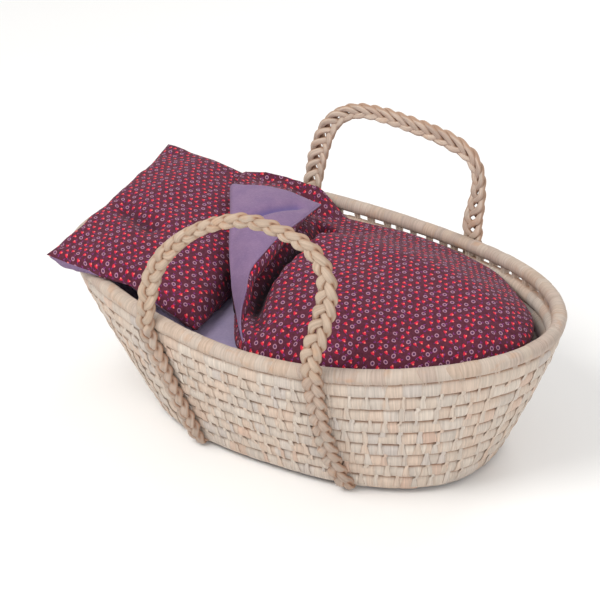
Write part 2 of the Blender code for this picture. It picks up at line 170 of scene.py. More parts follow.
def hashed(i, seed):
    """A repeatable number in 0..1 for each whole number."""
    x = np.sin(np.asarray(i, float) * 12.9898 + seed * 78.233) * 43758.5453
    return x - np.floor(x)


def value_noise(p, seed=0):
    """Smooth noise in -1..1 at points of two or three coordinates."""
    p = np.asarray(p, float)
    if p.shape[-1] == 2:
        p = np.concatenate([p, np.zeros(p.shape[:-1] + (1,))], -1)
    i = np.floor(p)
    f = p - i
    f = f * f * (3 - 2 * f)
    out = 0
    for a in (0, 1):
        for b in (0, 1):
            for c in (0, 1):
                h = hashed((i[..., 0] + a) * 1.0 + (i[..., 1] + b) * 57.31 + (i[..., 2] + c) * 113.77, seed)
                w = (f[..., 0] if a else 1 - f[..., 0]) * (f[..., 1] if b else 1 - f[..., 1]) * (f[..., 2] if c else 1 - f[..., 2])
                out = out + h * w
    return out * 2 - 1


def soft(x):
    x = np.clip(x, 0, 1)
    return x * x * (3 - 2 * x)


# ------------------------------------------------------------ mesh making
def build(name, verts, faces, mats, index=None, flat=None, tint=None, dark=None, smooth=True):
    verts = np.asarray(verts, float)
    mesh = bpy.data.meshes.new(name)
    mesh.from_pydata(verts.tolist(), [], [tuple(int(i) for i in f) for f in faces])
    for m in mats:
        mesh.materials.append(m)
    if index is not None:
        mesh.polygons.foreach_set("material_index", np.asarray(index, np.int32))
    for key, kind, value in (("flat", "FLOAT_VECTOR", flat), ("tint", "FLOAT", tint), ("dark", "FLOAT", dark)):
        if value is None:
            continue
        a = mesh.attributes.new(key, kind, "POINT")
        value = np.asarray(value, np.float32)
        a.data.foreach_set("vector" if kind == "FLOAT_VECTOR" else "value", value.ravel())
    mesh.update()
    if smooth:
        mesh.shade_smooth()
    obj = bpy.data.objects.new(name, mesh)
    scene.collection.objects.link(obj)
    return obj


def tube_faces(rings, around, start=0, cyclic=False, caps=True):
    """Quads of a tube whose vertices are stored ring by ring."""
    out = []
    last = rings if cyclic else rings - 1
    i = np.arange(last)[:, None]
    j = np.arange(around)[None]
    a = i * around + j
    b = i * around + (j + 1) % around
    c = ((i + 1) % rings) * around + (j + 1) % around
    d = ((i + 1) % rings) * around + j
    out = (np.stack([a, b, c, d], -1).reshape(-1, 4) + start).tolist()
    if not cyclic and caps:
        out.append([start + k for k in range(around)][::-1])
        out.append([start + (rings - 1) * around + k for k in range(around)])
    return out


class Bag:
    """Collects several tubes into one mesh."""

    def __init__(self):
        self.v, self.f, self.flat, self.tint, self.dark, self.n = [], [], [], [], [], 0

    def add(self, rings, flat, tint, dark=None, cyclic=False, caps=True):
        rings = np.asarray(rings, float)
        r, m = rings.shape[:2]
        self.f += tube_faces(r, m, self.n, cyclic, caps)
        self.v.append(rings.reshape(-1, 3))
        self.flat.append(np.asarray(flat, float).reshape(-1, 3))
        self.tint.append(np.broadcast_to(tint, (r, m)).reshape(-1))
        self.dark.append(np.zeros(r * m) if dark is None else np.broadcast_to(dark, (r, m)).reshape(-1))
        self.n += r * m

    def object(self, name, mats):
        return build(name, np.vstack(self.v), self.f, mats, flat=np.vstack(self.flat), tint=np.concatenate(self.tint), dark=np.concatenate(self.dark))


def outwards(obj):
    """Turns the faces out."""
    import bmesh

    bm = bmesh.new()
    bm.from_mesh(obj.data)
    bmesh.ops.recalc_face_normals(bm, faces=bm.faces)
    bm.to_mesh(obj.data)
    bm.free()
    obj.data.update()
    return obj


# -------------------------------------------------------------- materials
def srgb(r, g, b):
    return tuple((c / 255 / 12.92) if c / 255 <= 0.04045 else ((c / 255 + 0.055) / 1.055) ** 2.4 for c in (r, g, b))


class Nodes:
    """Short forms for node trees."""

    def __init__(self, name, roughness, sheen=0.0):
        self.mat = bpy.data.materials.new(name)
        self.mat.use_nodes = True
        self.t = self.mat.node_tree
        self.shader = self.t.nodes["Principled BSDF"]
        self.shader.inputs["Roughness"].default_value = roughness
        self.shader.inputs["Specular IOR Level"].default_value = 0.35
        if sheen:
            self.shader.inputs["Sheen Weight"].default_value = sheen
            self.shader.inputs["Sheen Roughness"].default_value = 0.45

    def node(self, kind, **props):
        n = self.t.nodes.new(kind)
        for k, v in props.items():
            setattr(n, k, v)
        return n

    def link(self, a, b):
        self.t.links.new(a, b)

    def put(self, socket, value):
        if isinstance(value, (int, float)):
            socket.default_value = value
        elif isinstance(value, tuple):
            socket.default_value = value if len(socket.default_value) == len(value) else (*value, 1)
        else:
            self.link(value, socket)

    def math(self, op, a, b=None, c=None, clamp=False):
        n = self.node("ShaderNodeMath", operation=op, use_clamp=clamp)
        for i, v in enumerate((a, b, c)):
            if v is not None:
                self.put(n.inputs[i], v)
        return n.outputs[0]

    def attribute(self, name):
        n = self.node("ShaderNodeAttribute", attribute_type="GEOMETRY", attribute_name=name)
        return n

    def mix(self, f, a, b, mode="MIX"):
        n = self.node("ShaderNodeMix", data_type="RGBA", blend_type=mode)
        self.put(n.inputs[0], f)
        self.put(n.inputs[6], a)
        self.put(n.inputs[7], b)
        return n.outputs[2]

    def ramp(self, f, stops, interpolation="LINEAR"):
        n = self.node("ShaderNodeValToRGB")
        n.color_ramp.interpolation = interpolation
        e = n.color_ramp.elements
        while len(e) < len(stops):
            e.new(0.5)
        for k, (at, colour) in enumerate(stops):
            e[k].position = at
            e[k].color = (*colour, 1)
        self.put(n.inputs[0], f)
        return n.outputs[0]

    def noise(self, vector, scale, detail=2.0, rough=0.5):
        n = self.node("ShaderNodeTexNoise")
        self.put(n.inputs["Vector"], vector)
        n.inputs["Scale"].default_value = scale
        n.inputs["Detail"].default_value = detail
        n.inputs["Roughness"].default_value = rough
        return n.outputs[0]

    def scaled(self, vector, x, y, z):
        n = self.node("ShaderNodeVectorMath", operation="MULTIPLY")
        self.put(n.inputs[0], vector)
        n.inputs[1].default_value = (x, y, z)
        return n.outputs[0]

    def range(self, v, a, b, c=0.0, d=1.0, kind="SMOOTHSTEP"):
        n = self.node("ShaderNodeMapRange", interpolation_type=kind)
        self.put(n.inputs[0], v)
        for i, x in enumerate((a, b, c, d)):
            n.inputs[i + 1].default_value = x
        return n.outputs[0]

    def bump(self, height, strength, distance, normal=None):
        n = self.node("ShaderNodeBump")
        n.inputs["Strength"].default_value = strength
        n.inputs["Distance"].default_value = distance
        self.put(n.inputs["Height"], height)
        if normal is not None:
            self.link(normal, n.inputs["Normal"])
        return n.outputs[0]


def palm(name, stops, grey=0.25, warm=0.25, fine=1.0, seed=0.0, cast=(1.0, 1.0, 1.0)):
    """Dry palm leaf. In `flat`, X runs across the leaf and Y along it."""
    n = Nodes(name, 0.62)
    flat = n.attribute("flat").outputs["Vector"]
    place = n.node("ShaderNodeTexCoord").outputs["Object"]
    tint = n.attribute("tint").outputs["Fac"]
    dark = n.attribute("dark").outputs["Fac"]
    colour = n.ramp(tint, stops)
    # veins and fibres
    broad = n.noise(n.scaled(flat, 620 * fine, 26, 0), 1.0, 3.0, 0.6)
    thin = n.noise(n.scaled(flat, 2300 * fine, 70, 0), 1.0, 2.0, 0.5)
    vein = n.range(broad, 0.32, 0.68, 0.80, 1.10, "LINEAR")
    shade = n.math("MULTIPLY", vein, n.range(thin, 0.3, 0.7, 0.93, 1.05, "LINEAR"))
    n2 = n.node("ShaderNodeCombineColor")
    for k in range(3):
        n.link(shade, n2.inputs[k])
    colour = n.mix(1.0, colour, n2.outputs[0], "MULTIPLY")
    # a cast for each part takes yellow out of the leaf and sets how bright that part is; this brightness is partly
    # painted light and shade, set in place of changing the lamps
    colour = n.mix(1.0, colour, cast, "MULTIPLY")
    # weathered grey and warm brown patches
    patch = n.noise(n.scaled(place, 1, 1, 1), 34.0, 3.0, 0.6)
    colour = n.mix(n.range(patch, 0.52, 0.72, 0.0, grey), colour, srgb(176, 172, 162))
    patch = n.noise(n.scaled(place, 1.0, 1.0, 1.3), 61.0 + seed, 2.0, 0.6)
    colour = n.mix(n.range(patch, 0.55, 0.75, 0.0, warm), colour, srgb(188, 138, 98))
    streak = n.noise(n.scaled(flat, 160, 14, 0), 1.0, 2.0, 0.7)
    colour = n.mix(n.range(streak, 0.60, 0.78, 0.0, 0.24), colour, srgb(176, 128, 92))
    # dirt and painted shade in the joints, and painted shade in the creases of the braids
    colour = n.mix(n.range(dark, 0.0, 0.5, 0.0, 0.80, "LINEAR"), colour, srgb(158, 118, 92))
    colour = n.mix(n.range(dark, 0.5, 1.0, 0.0, 0.90, "LINEAR"), colour, srgb(96, 64, 46))
    n.link(colour, n.shader.inputs["Base Color"])
    height = n.math("ADD", broad, n.math("MULTIPLY", thin, 0.6))
    n.link(n.bump(height, 0.45, 0.0006), n.shader.inputs["Normal"])
    return n.mat


def weave_bump(n, flat, distance=0.00022, extra=None):
    """Fine plain weave, and a slight slub, as bump."""
    sep = n.node("ShaderNodeSeparateXYZ")
    n.link(flat, sep.inputs[0])
    w = 2 * math.pi / 0.00075
    a = n.math("SINE", n.math("MULTIPLY", sep.outputs[0], w))
    b = n.math("SINE", n.math("MULTIPLY", sep.outputs[1], w))
    h = n.math("MULTIPLY", n.math("MULTIPLY", a, b), 0.5)
    slub = n.noise(n.scaled(flat, 260, 1500, 0), 1.0, 2.0, 0.6)
    h = n.math("ADD", h, slub)
    normal = n.bump(h, 0.35, distance)
    crumple = n.noise(flat, 55.0, 4.0, 0.62)
    normal = n.bump(crumple, 0.40, 0.0030, normal)
    n.link(normal, n.shader.inputs["Normal"])


def lilac(name, colour, edge):
    n = Nodes(name, 0.92, 0.12)
    flat = n.attribute("flat").outputs["Vector"]
    c = n.mix(n.range(n.noise(flat, 45.0, 3.0, 0.6), 0.35, 0.7), srgb(*colour), srgb(*edge))
    slub = n.noise(n.scaled(flat, 300, 1900, 0), 1.0, 1.0, 0.5)
    c = n.mix(n.range(slub, 0.45, 0.7, 0.0, 0.18), c, srgb(min(colour[0] + 40, 255), min(colour[1] + 38, 255), min(colour[2] + 35, 255)))
    # painted shade in the creases: bluer and darker
    crease = n.attribute("dark").outputs["Fac"]
    c = n.mix(n.range(crease, 0.1, 1.0, 0.0, 0.70), c, srgb(84, 74, 132))
    n.link(c, n.shader.inputs["Base Color"])
    weave_bump(n, flat)
    return n.mat


PRINT_PITCH = 0.0069


def printed(name):
    """Plum cotton with staggered pale rings, red buds and thin violet sprigs."""
    n = Nodes(name, 0.94, 0.04)
    flat = n.attribute("flat").outputs["Vector"]
    sep = n.node("ShaderNodeSeparateXYZ")
    n.link(n.scaled(flat, 1 / PRINT_PITCH, 1 / PRINT_PITCH, 0), sep.inputs[0])
    base = srgb(92, 36, 55)

    def cells(dx, dy, seed, jitter):
        """Cell number hash and place in the cell, of a lattice staggered by half a cell."""
        y = n.math("ADD", sep.outputs[1], dy)
        row = n.math("FLOOR", y)
        shift = n.math("MULTIPLY", n.math("FLOORED_MODULO", row, 2.0), 0.5)
        x = n.math("ADD", n.math("ADD", sep.outputs[0], dx), shift)
        col = n.math("FLOOR", x)
        key = n.node("ShaderNodeCombineXYZ")
        n.link(col, key.inputs[0])
        n.link(row, key.inputs[1])
        key.inputs[2].default_value = seed
        white = n.node("ShaderNodeTexWhiteNoise", noise_dimensions="3D")
        n.link(key.outputs[0], white.inputs["Vector"])
        rnd = n.node("ShaderNodeSeparateColor")
        n.link(white.outputs["Color"], rnd.inputs[0])
        lx = n.math("SUBTRACT", n.math("SUBTRACT", x, col), 0.5)
        ly = n.math("SUBTRACT", n.math("SUBTRACT", y, row), 0.5)
        lx = n.math("SUBTRACT", lx, n.math("MULTIPLY", n.math("SUBTRACT", rnd.outputs[0], 0.5), jitter))
        ly = n.math("SUBTRACT", ly, n.math("MULTIPLY", n.math("SUBTRACT", rnd.outputs[1], 0.5), jitter))
        return col, row, rnd, lx, ly, white.outputs["Value"]

    def turned(lx, ly, angle):
        c, s = n.math("COSINE", angle), n.math("SINE", angle)
        return (
            n.math("ADD", n.math("MULTIPLY", lx, c), n.math("MULTIPLY", ly, s)),
            n.math("SUBTRACT", n.math("MULTIPLY", ly, c), n.math("MULTIPLY", lx, s)),
        )

    def length(x, y):
        return n.math("SQRT", n.math("ADD", n.math("MULTIPLY", x, x), n.math("MULTIPLY", y, y)))

    col, row, rnd, lx, ly, value = cells(0.0, 0.0, 1.0, 0.30)
    # two of every five places hold a ring, the others a bud
    kind = n.math("FLOORED_MODULO", n.math("ADD", n.math("MULTIPLY", col, 2.0), n.math("MULTIPLY", row, 3.0)), 5.0)
    is_ring = n.math("LESS_THAN", kind, 1.5)
    r = length(lx, ly)
    ring = n.range(n.math("ABSOLUTE", n.math("SUBTRACT", r, 0.215)), 0.035, 0.082, 1.0, 0.0)
    heart_of_ring = n.math("MULTIPLY", n.range(r, 0.12, 0.17, 1.0, 0.0), is_ring)
    ring = n.math("MULTIPLY", ring, is_ring)
    is_bud = n.math("SUBTRACT", 1.0, is_ring)
    angle = n.math("MULTIPLY", n.math("SUBTRACT", rnd.outputs[2], 0.5), 2.6)
    bx, by = turned(lx, ly, angle)
    # a bud: two lobes above a point
    hy = n.math("SUBTRACT", by, n.math("MULTIPLY", n.math("ABSOLUTE", bx), 0.75))
    heart = length(n.math("MULTIPLY", bx, 1.05), n.math("ADD", hy, 0.04))
    bud = n.math("MULTIPLY", n.range(heart, 0.20, 0.25, 1.0, 0.0), is_bud)
    gleam = n.math("MULTIPLY", n.range(length(n.math("SUBTRACT", bx, 0.13), n.math("SUBTRACT", by, 0.11)), 0.05, 0.15, 1.0, 0.0), bud)
    # its stem
    stem = n.math("MULTIPLY", n.range(n.math("ABSOLUTE", n.math("ADD", bx, n.math("MULTIPLY", by, 0.25))), 0.018, 0.045, 1.0, 0.0), n.math("MULTIPLY", n.math("LESS_THAN", by, -0.18), n.math("GREATER_THAN", by, -0.46)))
    stem = n.math("MULTIPLY", stem, is_bud)
    # sprigs between them
    _, _, rnd2, sx, sy, _ = cells(0.5, 0.5, 7.0, 0.35)
    sx, sy = turned(sx, sy, n.math("MULTIPLY", rnd2.outputs[2], 6.2832))
    vee = n.math("ABSOLUTE", n.math("SUBTRACT", n.math("MULTIPLY", n.math("ABSOLUTE", sx), 1.3), n.math("ADD", sy, 0.08)))
    sprig = n.math("MULTIPLY", n.range(vee, 0.03, 0.075, 1.0, 0.0), n.range(length(sx, sy), 0.17, 0.23, 1.0, 0.0))
    sprig = n.math("MULTIPLY", sprig, n.math("GREATER_THAN", rnd2.outputs[0], 0.15))

    fade = n.noise(flat, 300.0, 2.0, 0.6)
    colour = n.mix(n.range(fade, 0.35, 0.7), base, srgb(76, 27, 44))
    colour = n.mix(n.math("MULTIPLY", heart_of_ring, 0.7), colour, srgb(78, 44, 88))
    colour = n.mix(n.math("MULTIPLY", sprig, 0.85), colour, srgb(138, 58, 138))
    colour = n.mix(n.math("MULTIPLY", stem, 0.8), colour, srgb(128, 62, 140))
    colour = n.mix(n.math("MULTIPLY", ring, 0.84), colour, srgb(180, 134, 156))
    colour = n.mix(bud, colour, srgb(214, 32, 62))
    colour = n.mix(n.math("MULTIPLY", gleam, 0.8), colour, srgb(246, 140, 120))
    # painted shade in creases, dents and under folds, read from the dark attribute
    painted_shade = n.attribute("dark").outputs["Fac"]
    colour = n.mix(n.range(painted_shade, 0.05, 1.0, 0.0, 0.95), colour, srgb(22, 8, 20))
    n.link(colour, n.shader.inputs["Base Color"])
    weave_bump(n, flat)
    return n.mat


CREAM = [
    (0.00, srgb(230, 194, 164)),
    (0.10, srgb(232, 204, 174)),
    (0.40, srgb(230, 208, 180)),
    (0.62, srgb(222, 204, 180)),
    (0.82, srgb(236, 217, 190)),
    (1.00, srgb(218, 202, 182)),
]
PALM = palm("palm_leaf", CREAM, grey=0.20, warm=0.12, cast=(0.765, 0.80, 0.92))
PALM_RIM = palm("palm_leaf_rim", [(0.0, srgb(232, 198, 164)), (0.5, srgb(238, 212, 182)), (1.0, srgb(224, 194, 166))], grey=0.25, warm=0.35, seed=3.0, cast=(0.62, 0.67, 0.79))
BRAID_NEAR = palm("palm_braid_cream", [(0.0, srgb(222, 196, 160)), (0.5, srgb(234, 212, 178)), (1.0, srgb(214, 190, 158))], grey=0.30, warm=0.30, fine=0.8, seed=5.0, cast=(0.60, 0.575, 0.65))
BRAID_FAR = palm("palm_braid_brown", [(0.0, srgb(206, 178, 156)), (0.5, srgb(220, 196, 174)), (1.0, srgb(200, 172, 152))], grey=0.35, warm=0.30, fine=0.8, seed=9.0, cast=(0.87, 0.91, 0.96))
BRAID_STRAP = palm("palm_braid_grey", [(0.0, srgb(196, 168, 138)), (0.5, srgb(210, 188, 160)), (1.0, srgb(186, 164, 138))], grey=0.50, warm=0.25, fine=0.8, seed=7.0, cast=(0.73, 0.73, 0.85))
PRINTED = printed("printed_cotton")
LILAC = lilac("lilac_lining", (129, 103, 136), (118, 94, 130))
SHEETING = lilac("lilac_sheeting", (166, 152, 184), (154, 142, 176))


# ------------------------------------------------------------- wrapped coils
class Rail:
    """A closed line round the wall, with its frame, read at any length along."""

    def __init__(self, s, below=None, above=None, shift=0.0):
        t = np.linspace(0, 2 * math.pi, 2401)
        p = wall(s, t)
        self.at = np.concatenate([[0], np.cumsum(np.linalg.norm(np.diff(p, axis=0), axis=1))])
        self.length = self.at[-1]
        self.n = outward(s, t)
        along = unit(np.gradient(p, axis=0))
        self.u = unit(np.cross(self.n, along))
        self.u *= np.sign(self.u[:, 2:3])
        h = np.full(len(t), 1.0)
        if below is not None and above is not None:
            h = 0.25 * (np.linalg.norm(wall(above, t) - wall(s, t), axis=1) + np.linalg.norm(wall(below, t) - wall(s, t), axis=1))
        elif above is not None:
            h = 0.5 * np.linalg.norm(wall(above, t) - wall(s, t), axis=1)
        elif below is not None:
            h = 0.5 * np.linalg.norm(wall(below, t) - wall(s, t), axis=1)
        self.h = h
        self.p = p + self.u * shift
        self.t = t

    def read(self, a, what):
        a = np.mod(a, self.length)
        src = getattr(self, what)
        if src.ndim == 1:
            return np.interp(a, self.at, src)
        return np.stack([np.interp(a, self.at, src[:, k]) for k in range(3)], -1)


def cells_along(length, low, high, seed):
    """Wrap widths that fill the length."""
    count = int(length / ((low + high) / 2))
    w = low + (high - low) * hashed(np.arange(count), seed)
    return np.concatenate([[0], np.cumsum(w)])[:-1] * length / w.sum(), w * length / w.sum()


# the section: place across the row (-1..1), and outer side or inner side
SECTION = [(-0.985, 1), (-0.93, 1), (-0.80, 1), (-0.45, 1), (0.0, 1), (0.45, 1), (0.80, 1), (0.93, 1), (0.985, 1), (0.86, -1), (0.50, -1), (0.0, -1), (-0.50, -1), (-0.86, -1)]
STOPS = (0.0, 0.05, 0.16, 0.38, 0.66, 0.88, 0.965)


def wrapped(bag, rail, depth, tall, seed, low, high, power, slant, relief, groove, edge_dark=0.14, slot_dark=True, over=(0.0, 0.0), under=(0.0, 0.0), uneven=0.00035):
    """One coil wound with leaf: wraps lie side by side, each a little apart in
    height, width and slant."""
    start, width = cells_along(rail.length, low, high, seed)
    count = len(start)
    lean = (hashed(np.arange(count), seed + 3.3) - 0.5) * 2 * slant
    lift = (hashed(np.arange(count), seed + 5.1) - 0.5) * 2
    shade = hashed(np.arange(count), seed + 8.7)
    y = np.array([a for a, _ in SECTION])
    face = np.array([b for _, b in SECTION])
    p = np.where(face > 0, power, 2.1)
    x = (1 - np.abs(y) ** p) ** (1 / p) * np.where(face > 0, 1.0, -0.96)
    arc = np.cumsum(np.concatenate([[0], np.hypot(np.diff(x * depth), np.diff(y * 0.0067))]))
    rings, flats, tints, darks = [], [], [], []
    for i in range(count):
        nxt = (i + 1) % count
        for c in STOPS:
            skew = lean[i] * (1 - c) + lean[nxt] * c
            a = start[i] + c * width[i] + skew * 0.0067 * y * np.where(face > 0, 1, -0.6)
            side = min(c, 1 - c)
            bump = (1 - (1 - min(side / 0.22, 1.0)) ** 2) * groove - groove
            d = relief * lift[i] * (soft(side / 0.12)) + bump
            centre, nrm, up = rail.read(a, "p"), rail.read(a, "n"), rail.read(a, "u")
            high_ = rail.read(a, "h") * tall if tall < 3 else np.full(len(a), 0.0066)
            # far side and near side differ in how closely the rows are drawn up
            close = drawn_up(rail.read(a, "t"))
            high_ = high_ + np.where(y > 0, over[0] + (over[1] - over[0]) * close, under[0] + (under[1] - under[0]) * close)
            # the leaf lies a little unevenly over the core
            rough = value_noise(np.stack([a * 95, y * 2.0, np.full(len(a), seed)], -1), seed) * 0.00022
            reach = (x * depth) + np.sign(x) * (d + rough) * np.abs(x) ** 0.5
            sag = uneven * (hashed(i, seed + 4.4) - 0.5) * 2 * soft((np.abs(y) - 0.6) / 0.3)
            rings.append(centre + nrm * reach[:, None] + up * (y * high_ + sag)[:, None])
            flats.append(np.stack([a, arc + seed * 0.05 + shade[i], np.zeros(len(a))], -1))
            tints.append(np.full(len(a), shade[i]))
            # dirt and painted shade at the joints between rows and at the edge of each wrap; on the rim (slot_dark off)
            # only its lower side
            patchy = 0.72 + 0.28 * value_noise(np.stack([a * 55, y * 0 + seed, y * 0], -1), seed + 6)
            slot = np.clip(((np.abs(y) if slot_dark else -y) - 0.87) / 0.11, 0, 1) * patchy
            darks.append(np.maximum(slot, (edge_dark if c in (0.0,) else 0.0) * np.ones(len(a)) * (0.45 + 0.55 * hashed(i, seed + 2))))
    bag.add(rings, flats, np.array(tints), np.array(darks), cyclic=True)
    return start, width, lean


def ribbon(bag, points, across, facing, half, thick, tint, seed):
    """A flat strip of leaf that follows the points."""
    points, across, facing = np.asarray(points), np.asarray(across), np.asarray(facing)
    ring = [(-1.0, 0.0), (-0.8, 0.75), (0.0, 1.0), (0.8, 0.75), (1.0, 0.0), (0.8, -0.8), (-0.8, -0.8)]
    half = np.broadcast_to(np.asarray(half, float), (len(points),))
    rings = np.stack([points + across * (half * a)[:, None] + facing * (thick * b) for a, b in ring], 1)
    run = np.concatenate([[0], np.cumsum(np.linalg.norm(np.diff(points, axis=0), axis=1))])
    wide = np.array([a for a, _ in ring])
    h = half
    flat = np.stack([seed * 0.37 + wide[None] * h[:, None], np.broadcast_to(run[:, None], (len(points), len(ring))) + seed, np.zeros((len(points), len(ring)))], -1)
    dark = np.broadcast_to((np.abs(wide) > 0.95) * 0.16, (len(points), len(ring)))
    bag.add(rings, flat, tint, dark)


def drawn_up(t):
    """1 on the near side, where the rows lie close under the rim, 0 on the far side."""
    return soft((0.30 - np.sin(t)) / 0.8)


def basket():
    t = np.linspace(0, 2 * math.pi, 2401)
    top_share = TOP_ROW + 0.022 * drawn_up(t)
    shares = [top_share * k / (ROWS - 1) for k in range(ROWS)]
    rails = []
    for k in range(ROWS):
        below = shares[k - 1] if k else None
        above = shares[k + 1] if k < ROWS - 1 else None
        rails.append(Rail(shares[k], below, above))
    depth = 0.0064
    made = []
    for k, rail in enumerate(rails):
        bag = Bag()
        top = (0.0, 0.0012) if k == ROWS - 1 else (0.0, 0.0)
        foot = (0.0022, 0.0026) if k == 0 else (0.0, 0.0)
        start, width, lean = wrapped(bag, rail, depth, 1.02, 11.0 + k * 1.7, 0.0125, 0.0185, 2.85, 0.30, 0.00042, 0.00030, over=top, under=foot, uneven=0.00055)
        if k:
            stitches(bag, rails[k - 1], rail, start, width, lean, depth, 40.0 + k)
        obj = outwards(bag.object(f"coil_row_{k + 1}", [PALM]))
        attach(obj, "basket")
        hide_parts(f"wall_row_{k + 1}")
        made.append(obj)
    rim = Rail(1.0)
    bag = Bag()
    wrapped(bag, rim, 0.0070, 9, 3.0, 0.0085, 0.0170, 2.15, 0.60, 0.00026, 0.00022, edge_dark=0.20, slot_dark=False, under=(0.0, 0.0004), uneven=0.00022)
    obj = outwards(bag.object("rim_wrapped", [PALM_RIM]))
    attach(obj, "basket")
    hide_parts("rim_coil")
    lace(rails[-1], rim, shares[-1])
    return rails, rim


def stitches(bag, low_rail, rail, start, width, lean, depth, seed):
    """Where the leaf runs on into the row below: it crosses the joint narrow
    and fans out over the lower row."""
    power = 2.85
    for i, a in enumerate(start):
        if hashed(i, seed) < 0.05:
            continue
        half_top = 0.0012 + 0.0013 * hashed(i, seed + 1)
        fan = hashed(i, seed + 3)
        half_low = half_top * (0.8 + 1.6 * hashed(i, seed + 2))
        long_ = fan > 0.22
        t = rail.read(a + half_top * 0.6, "t")
        # the same place on the row below
        b = float(np.interp(t, low_rail.t, low_rail.at)) + lean[i] * 0.004
        top = rail.read(a + half_top * 0.6, "p")
        low = low_rail.read(b, "p")
        nt, nl = rail.read(a, "n"), low_rail.read(b, "n")
        ht, hl = float(rail.read(a, "h")), float(low_rail.read(b, "h"))
        up_t, up_l = rail.read(a, "u"), low_rail.read(b, "u")
        pts, nor = [], []
        last = -0.86 if long_ else 0.45
        for y in (-0.40, -0.62, -0.80, -0.92):
            x = max((1 - abs(y) ** power) ** (1 / power), 0.90)
            pts.append(top + up_t * y * ht + nt * (depth * x + 0.00012 - 0.0016 * soft((y + 0.55) / 0.15)))
            nor.append(nt)
        for y in np.concatenate([(0.93, 0.80), np.linspace(0.62, last, 6)]):
            x = max((1 - abs(y) ** power) ** (1 / power), 0.90 if y > 0 else 0.0)
            sink = 0.0016 * soft((last + 0.22 - y) / 0.22)
            pts.append(low + up_l * y * hl + nl * (depth * x + 0.00012 - sink))
            nor.append(nl)
        pts, nor = np.array(pts), np.array(nor)
        along = unit(np.cross(np.array((0, 0, 1.0)), nt))
        q = np.linspace(0, 1, len(pts))
        half = half_top + (half_low - half_top) * soft((q - 0.3) / 0.7)
        ribbon(bag, pts, np.tile(along, (len(pts), 1)), nor, half, 0.00050, hashed(i, seed + 6), seed + i * 0.13)


def lace(top_rail, rim, share):
    """The open band under the rim: bundles of leaf cross it."""
    bag = Bag()
    t = np.linspace(0, 2 * math.pi, LACING_STITCHES, endpoint=False)
    # even spacing along the rim
    at = np.linspace(0, rim.length, LACING_STITCHES, endpoint=False)
    for i, a in enumerate(at):
        a = a + (hashed(i, 71.0) - 0.5) * 0.004
        t = float(rim.read(a, "t"))
        b = float(np.interp(t, top_rail.t, top_rail.at))
        top, low = rim.read(a, "p"), top_rail.read(b, "p")
        nrm = unit(rim.read(a, "n") + top_rail.read(b, "n"))
        run = unit(top - low)
        along = unit(np.cross(nrm, run))
        gap = np.linalg.norm(top - low)
        strands = 2 + (hashed(i, 72.0) > 0.5)
        total = 0.0038 + 0.0020 * hashed(i, 73.0)
        for k in range(strands):
            side = (k - (strands - 1) / 2) * total / strands
            lean = (hashed(i * 3 + k, 74.0) - 0.5) * 0.0022
            q = np.linspace(0.14, 0.72, 8)
            w = total / strands * 0.62
            pts = low + run * (q * gap)[:, None] + along * (side * (1 + 0.35 * np.abs(q - 0.43) / 0.3) + lean * (q - 0.43))[:, None]
            pts = pts + nrm * (0.0012 * np.sin((q - 0.14) / 0.58 * math.pi))[:, None]
            ring = [(math.cos(v), math.sin(v)) for v in np.linspace(0, 2 * math.pi, 9)[:-1]]
            rings = np.stack([pts + along * (w * c) + nrm * (0.0042 * s) for c, s in ring], 1)
            wide = np.array([math.atan2(s, c) for c, s in ring])
            flat = np.stack([np.broadcast_to(wide[None] * 0.003, (8, 8)), np.broadcast_to((q * gap)[:, None] + i, (8, 8)), np.zeros((8, 8))], -1)
            bag.add(rings, flat, 0.2 + 0.7 * hashed(i * 5 + k, 75.0), 0.12)
    obj = outwards(bag.object("rim_lacing_wraps", [PALM]))
    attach(obj, "basket")
    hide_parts("rim_lacing")


def inner_oval(t, inset):
    ring = np.linspace(0, 2 * math.pi, 720, endpoint=False)
    outline = np.stack(oval(ring, BASE_A, BASE_B, BASE_N), 1)
    edge = np.roll(outline, -1, 0) - outline
    normal = np.stack([-edge[:, 1], edge[:, 0]], 1)
    normal /= np.linalg.norm(normal, axis=1, keepdims=True)
    out = []
    for ci, si, d in zip(np.cos(t), np.sin(t), inset):
        along = normal[:, 0] * ci + normal[:, 1] * si
        free = -(normal * outline).sum(1)
        with np.errstate(divide="ignore", invalid="ignore"):
            reach = np.where(along < -1e-9, (free - d) / -along, np.inf)
        r = reach.min()
        out.append((r * ci, r * si))
    return np.array(out)


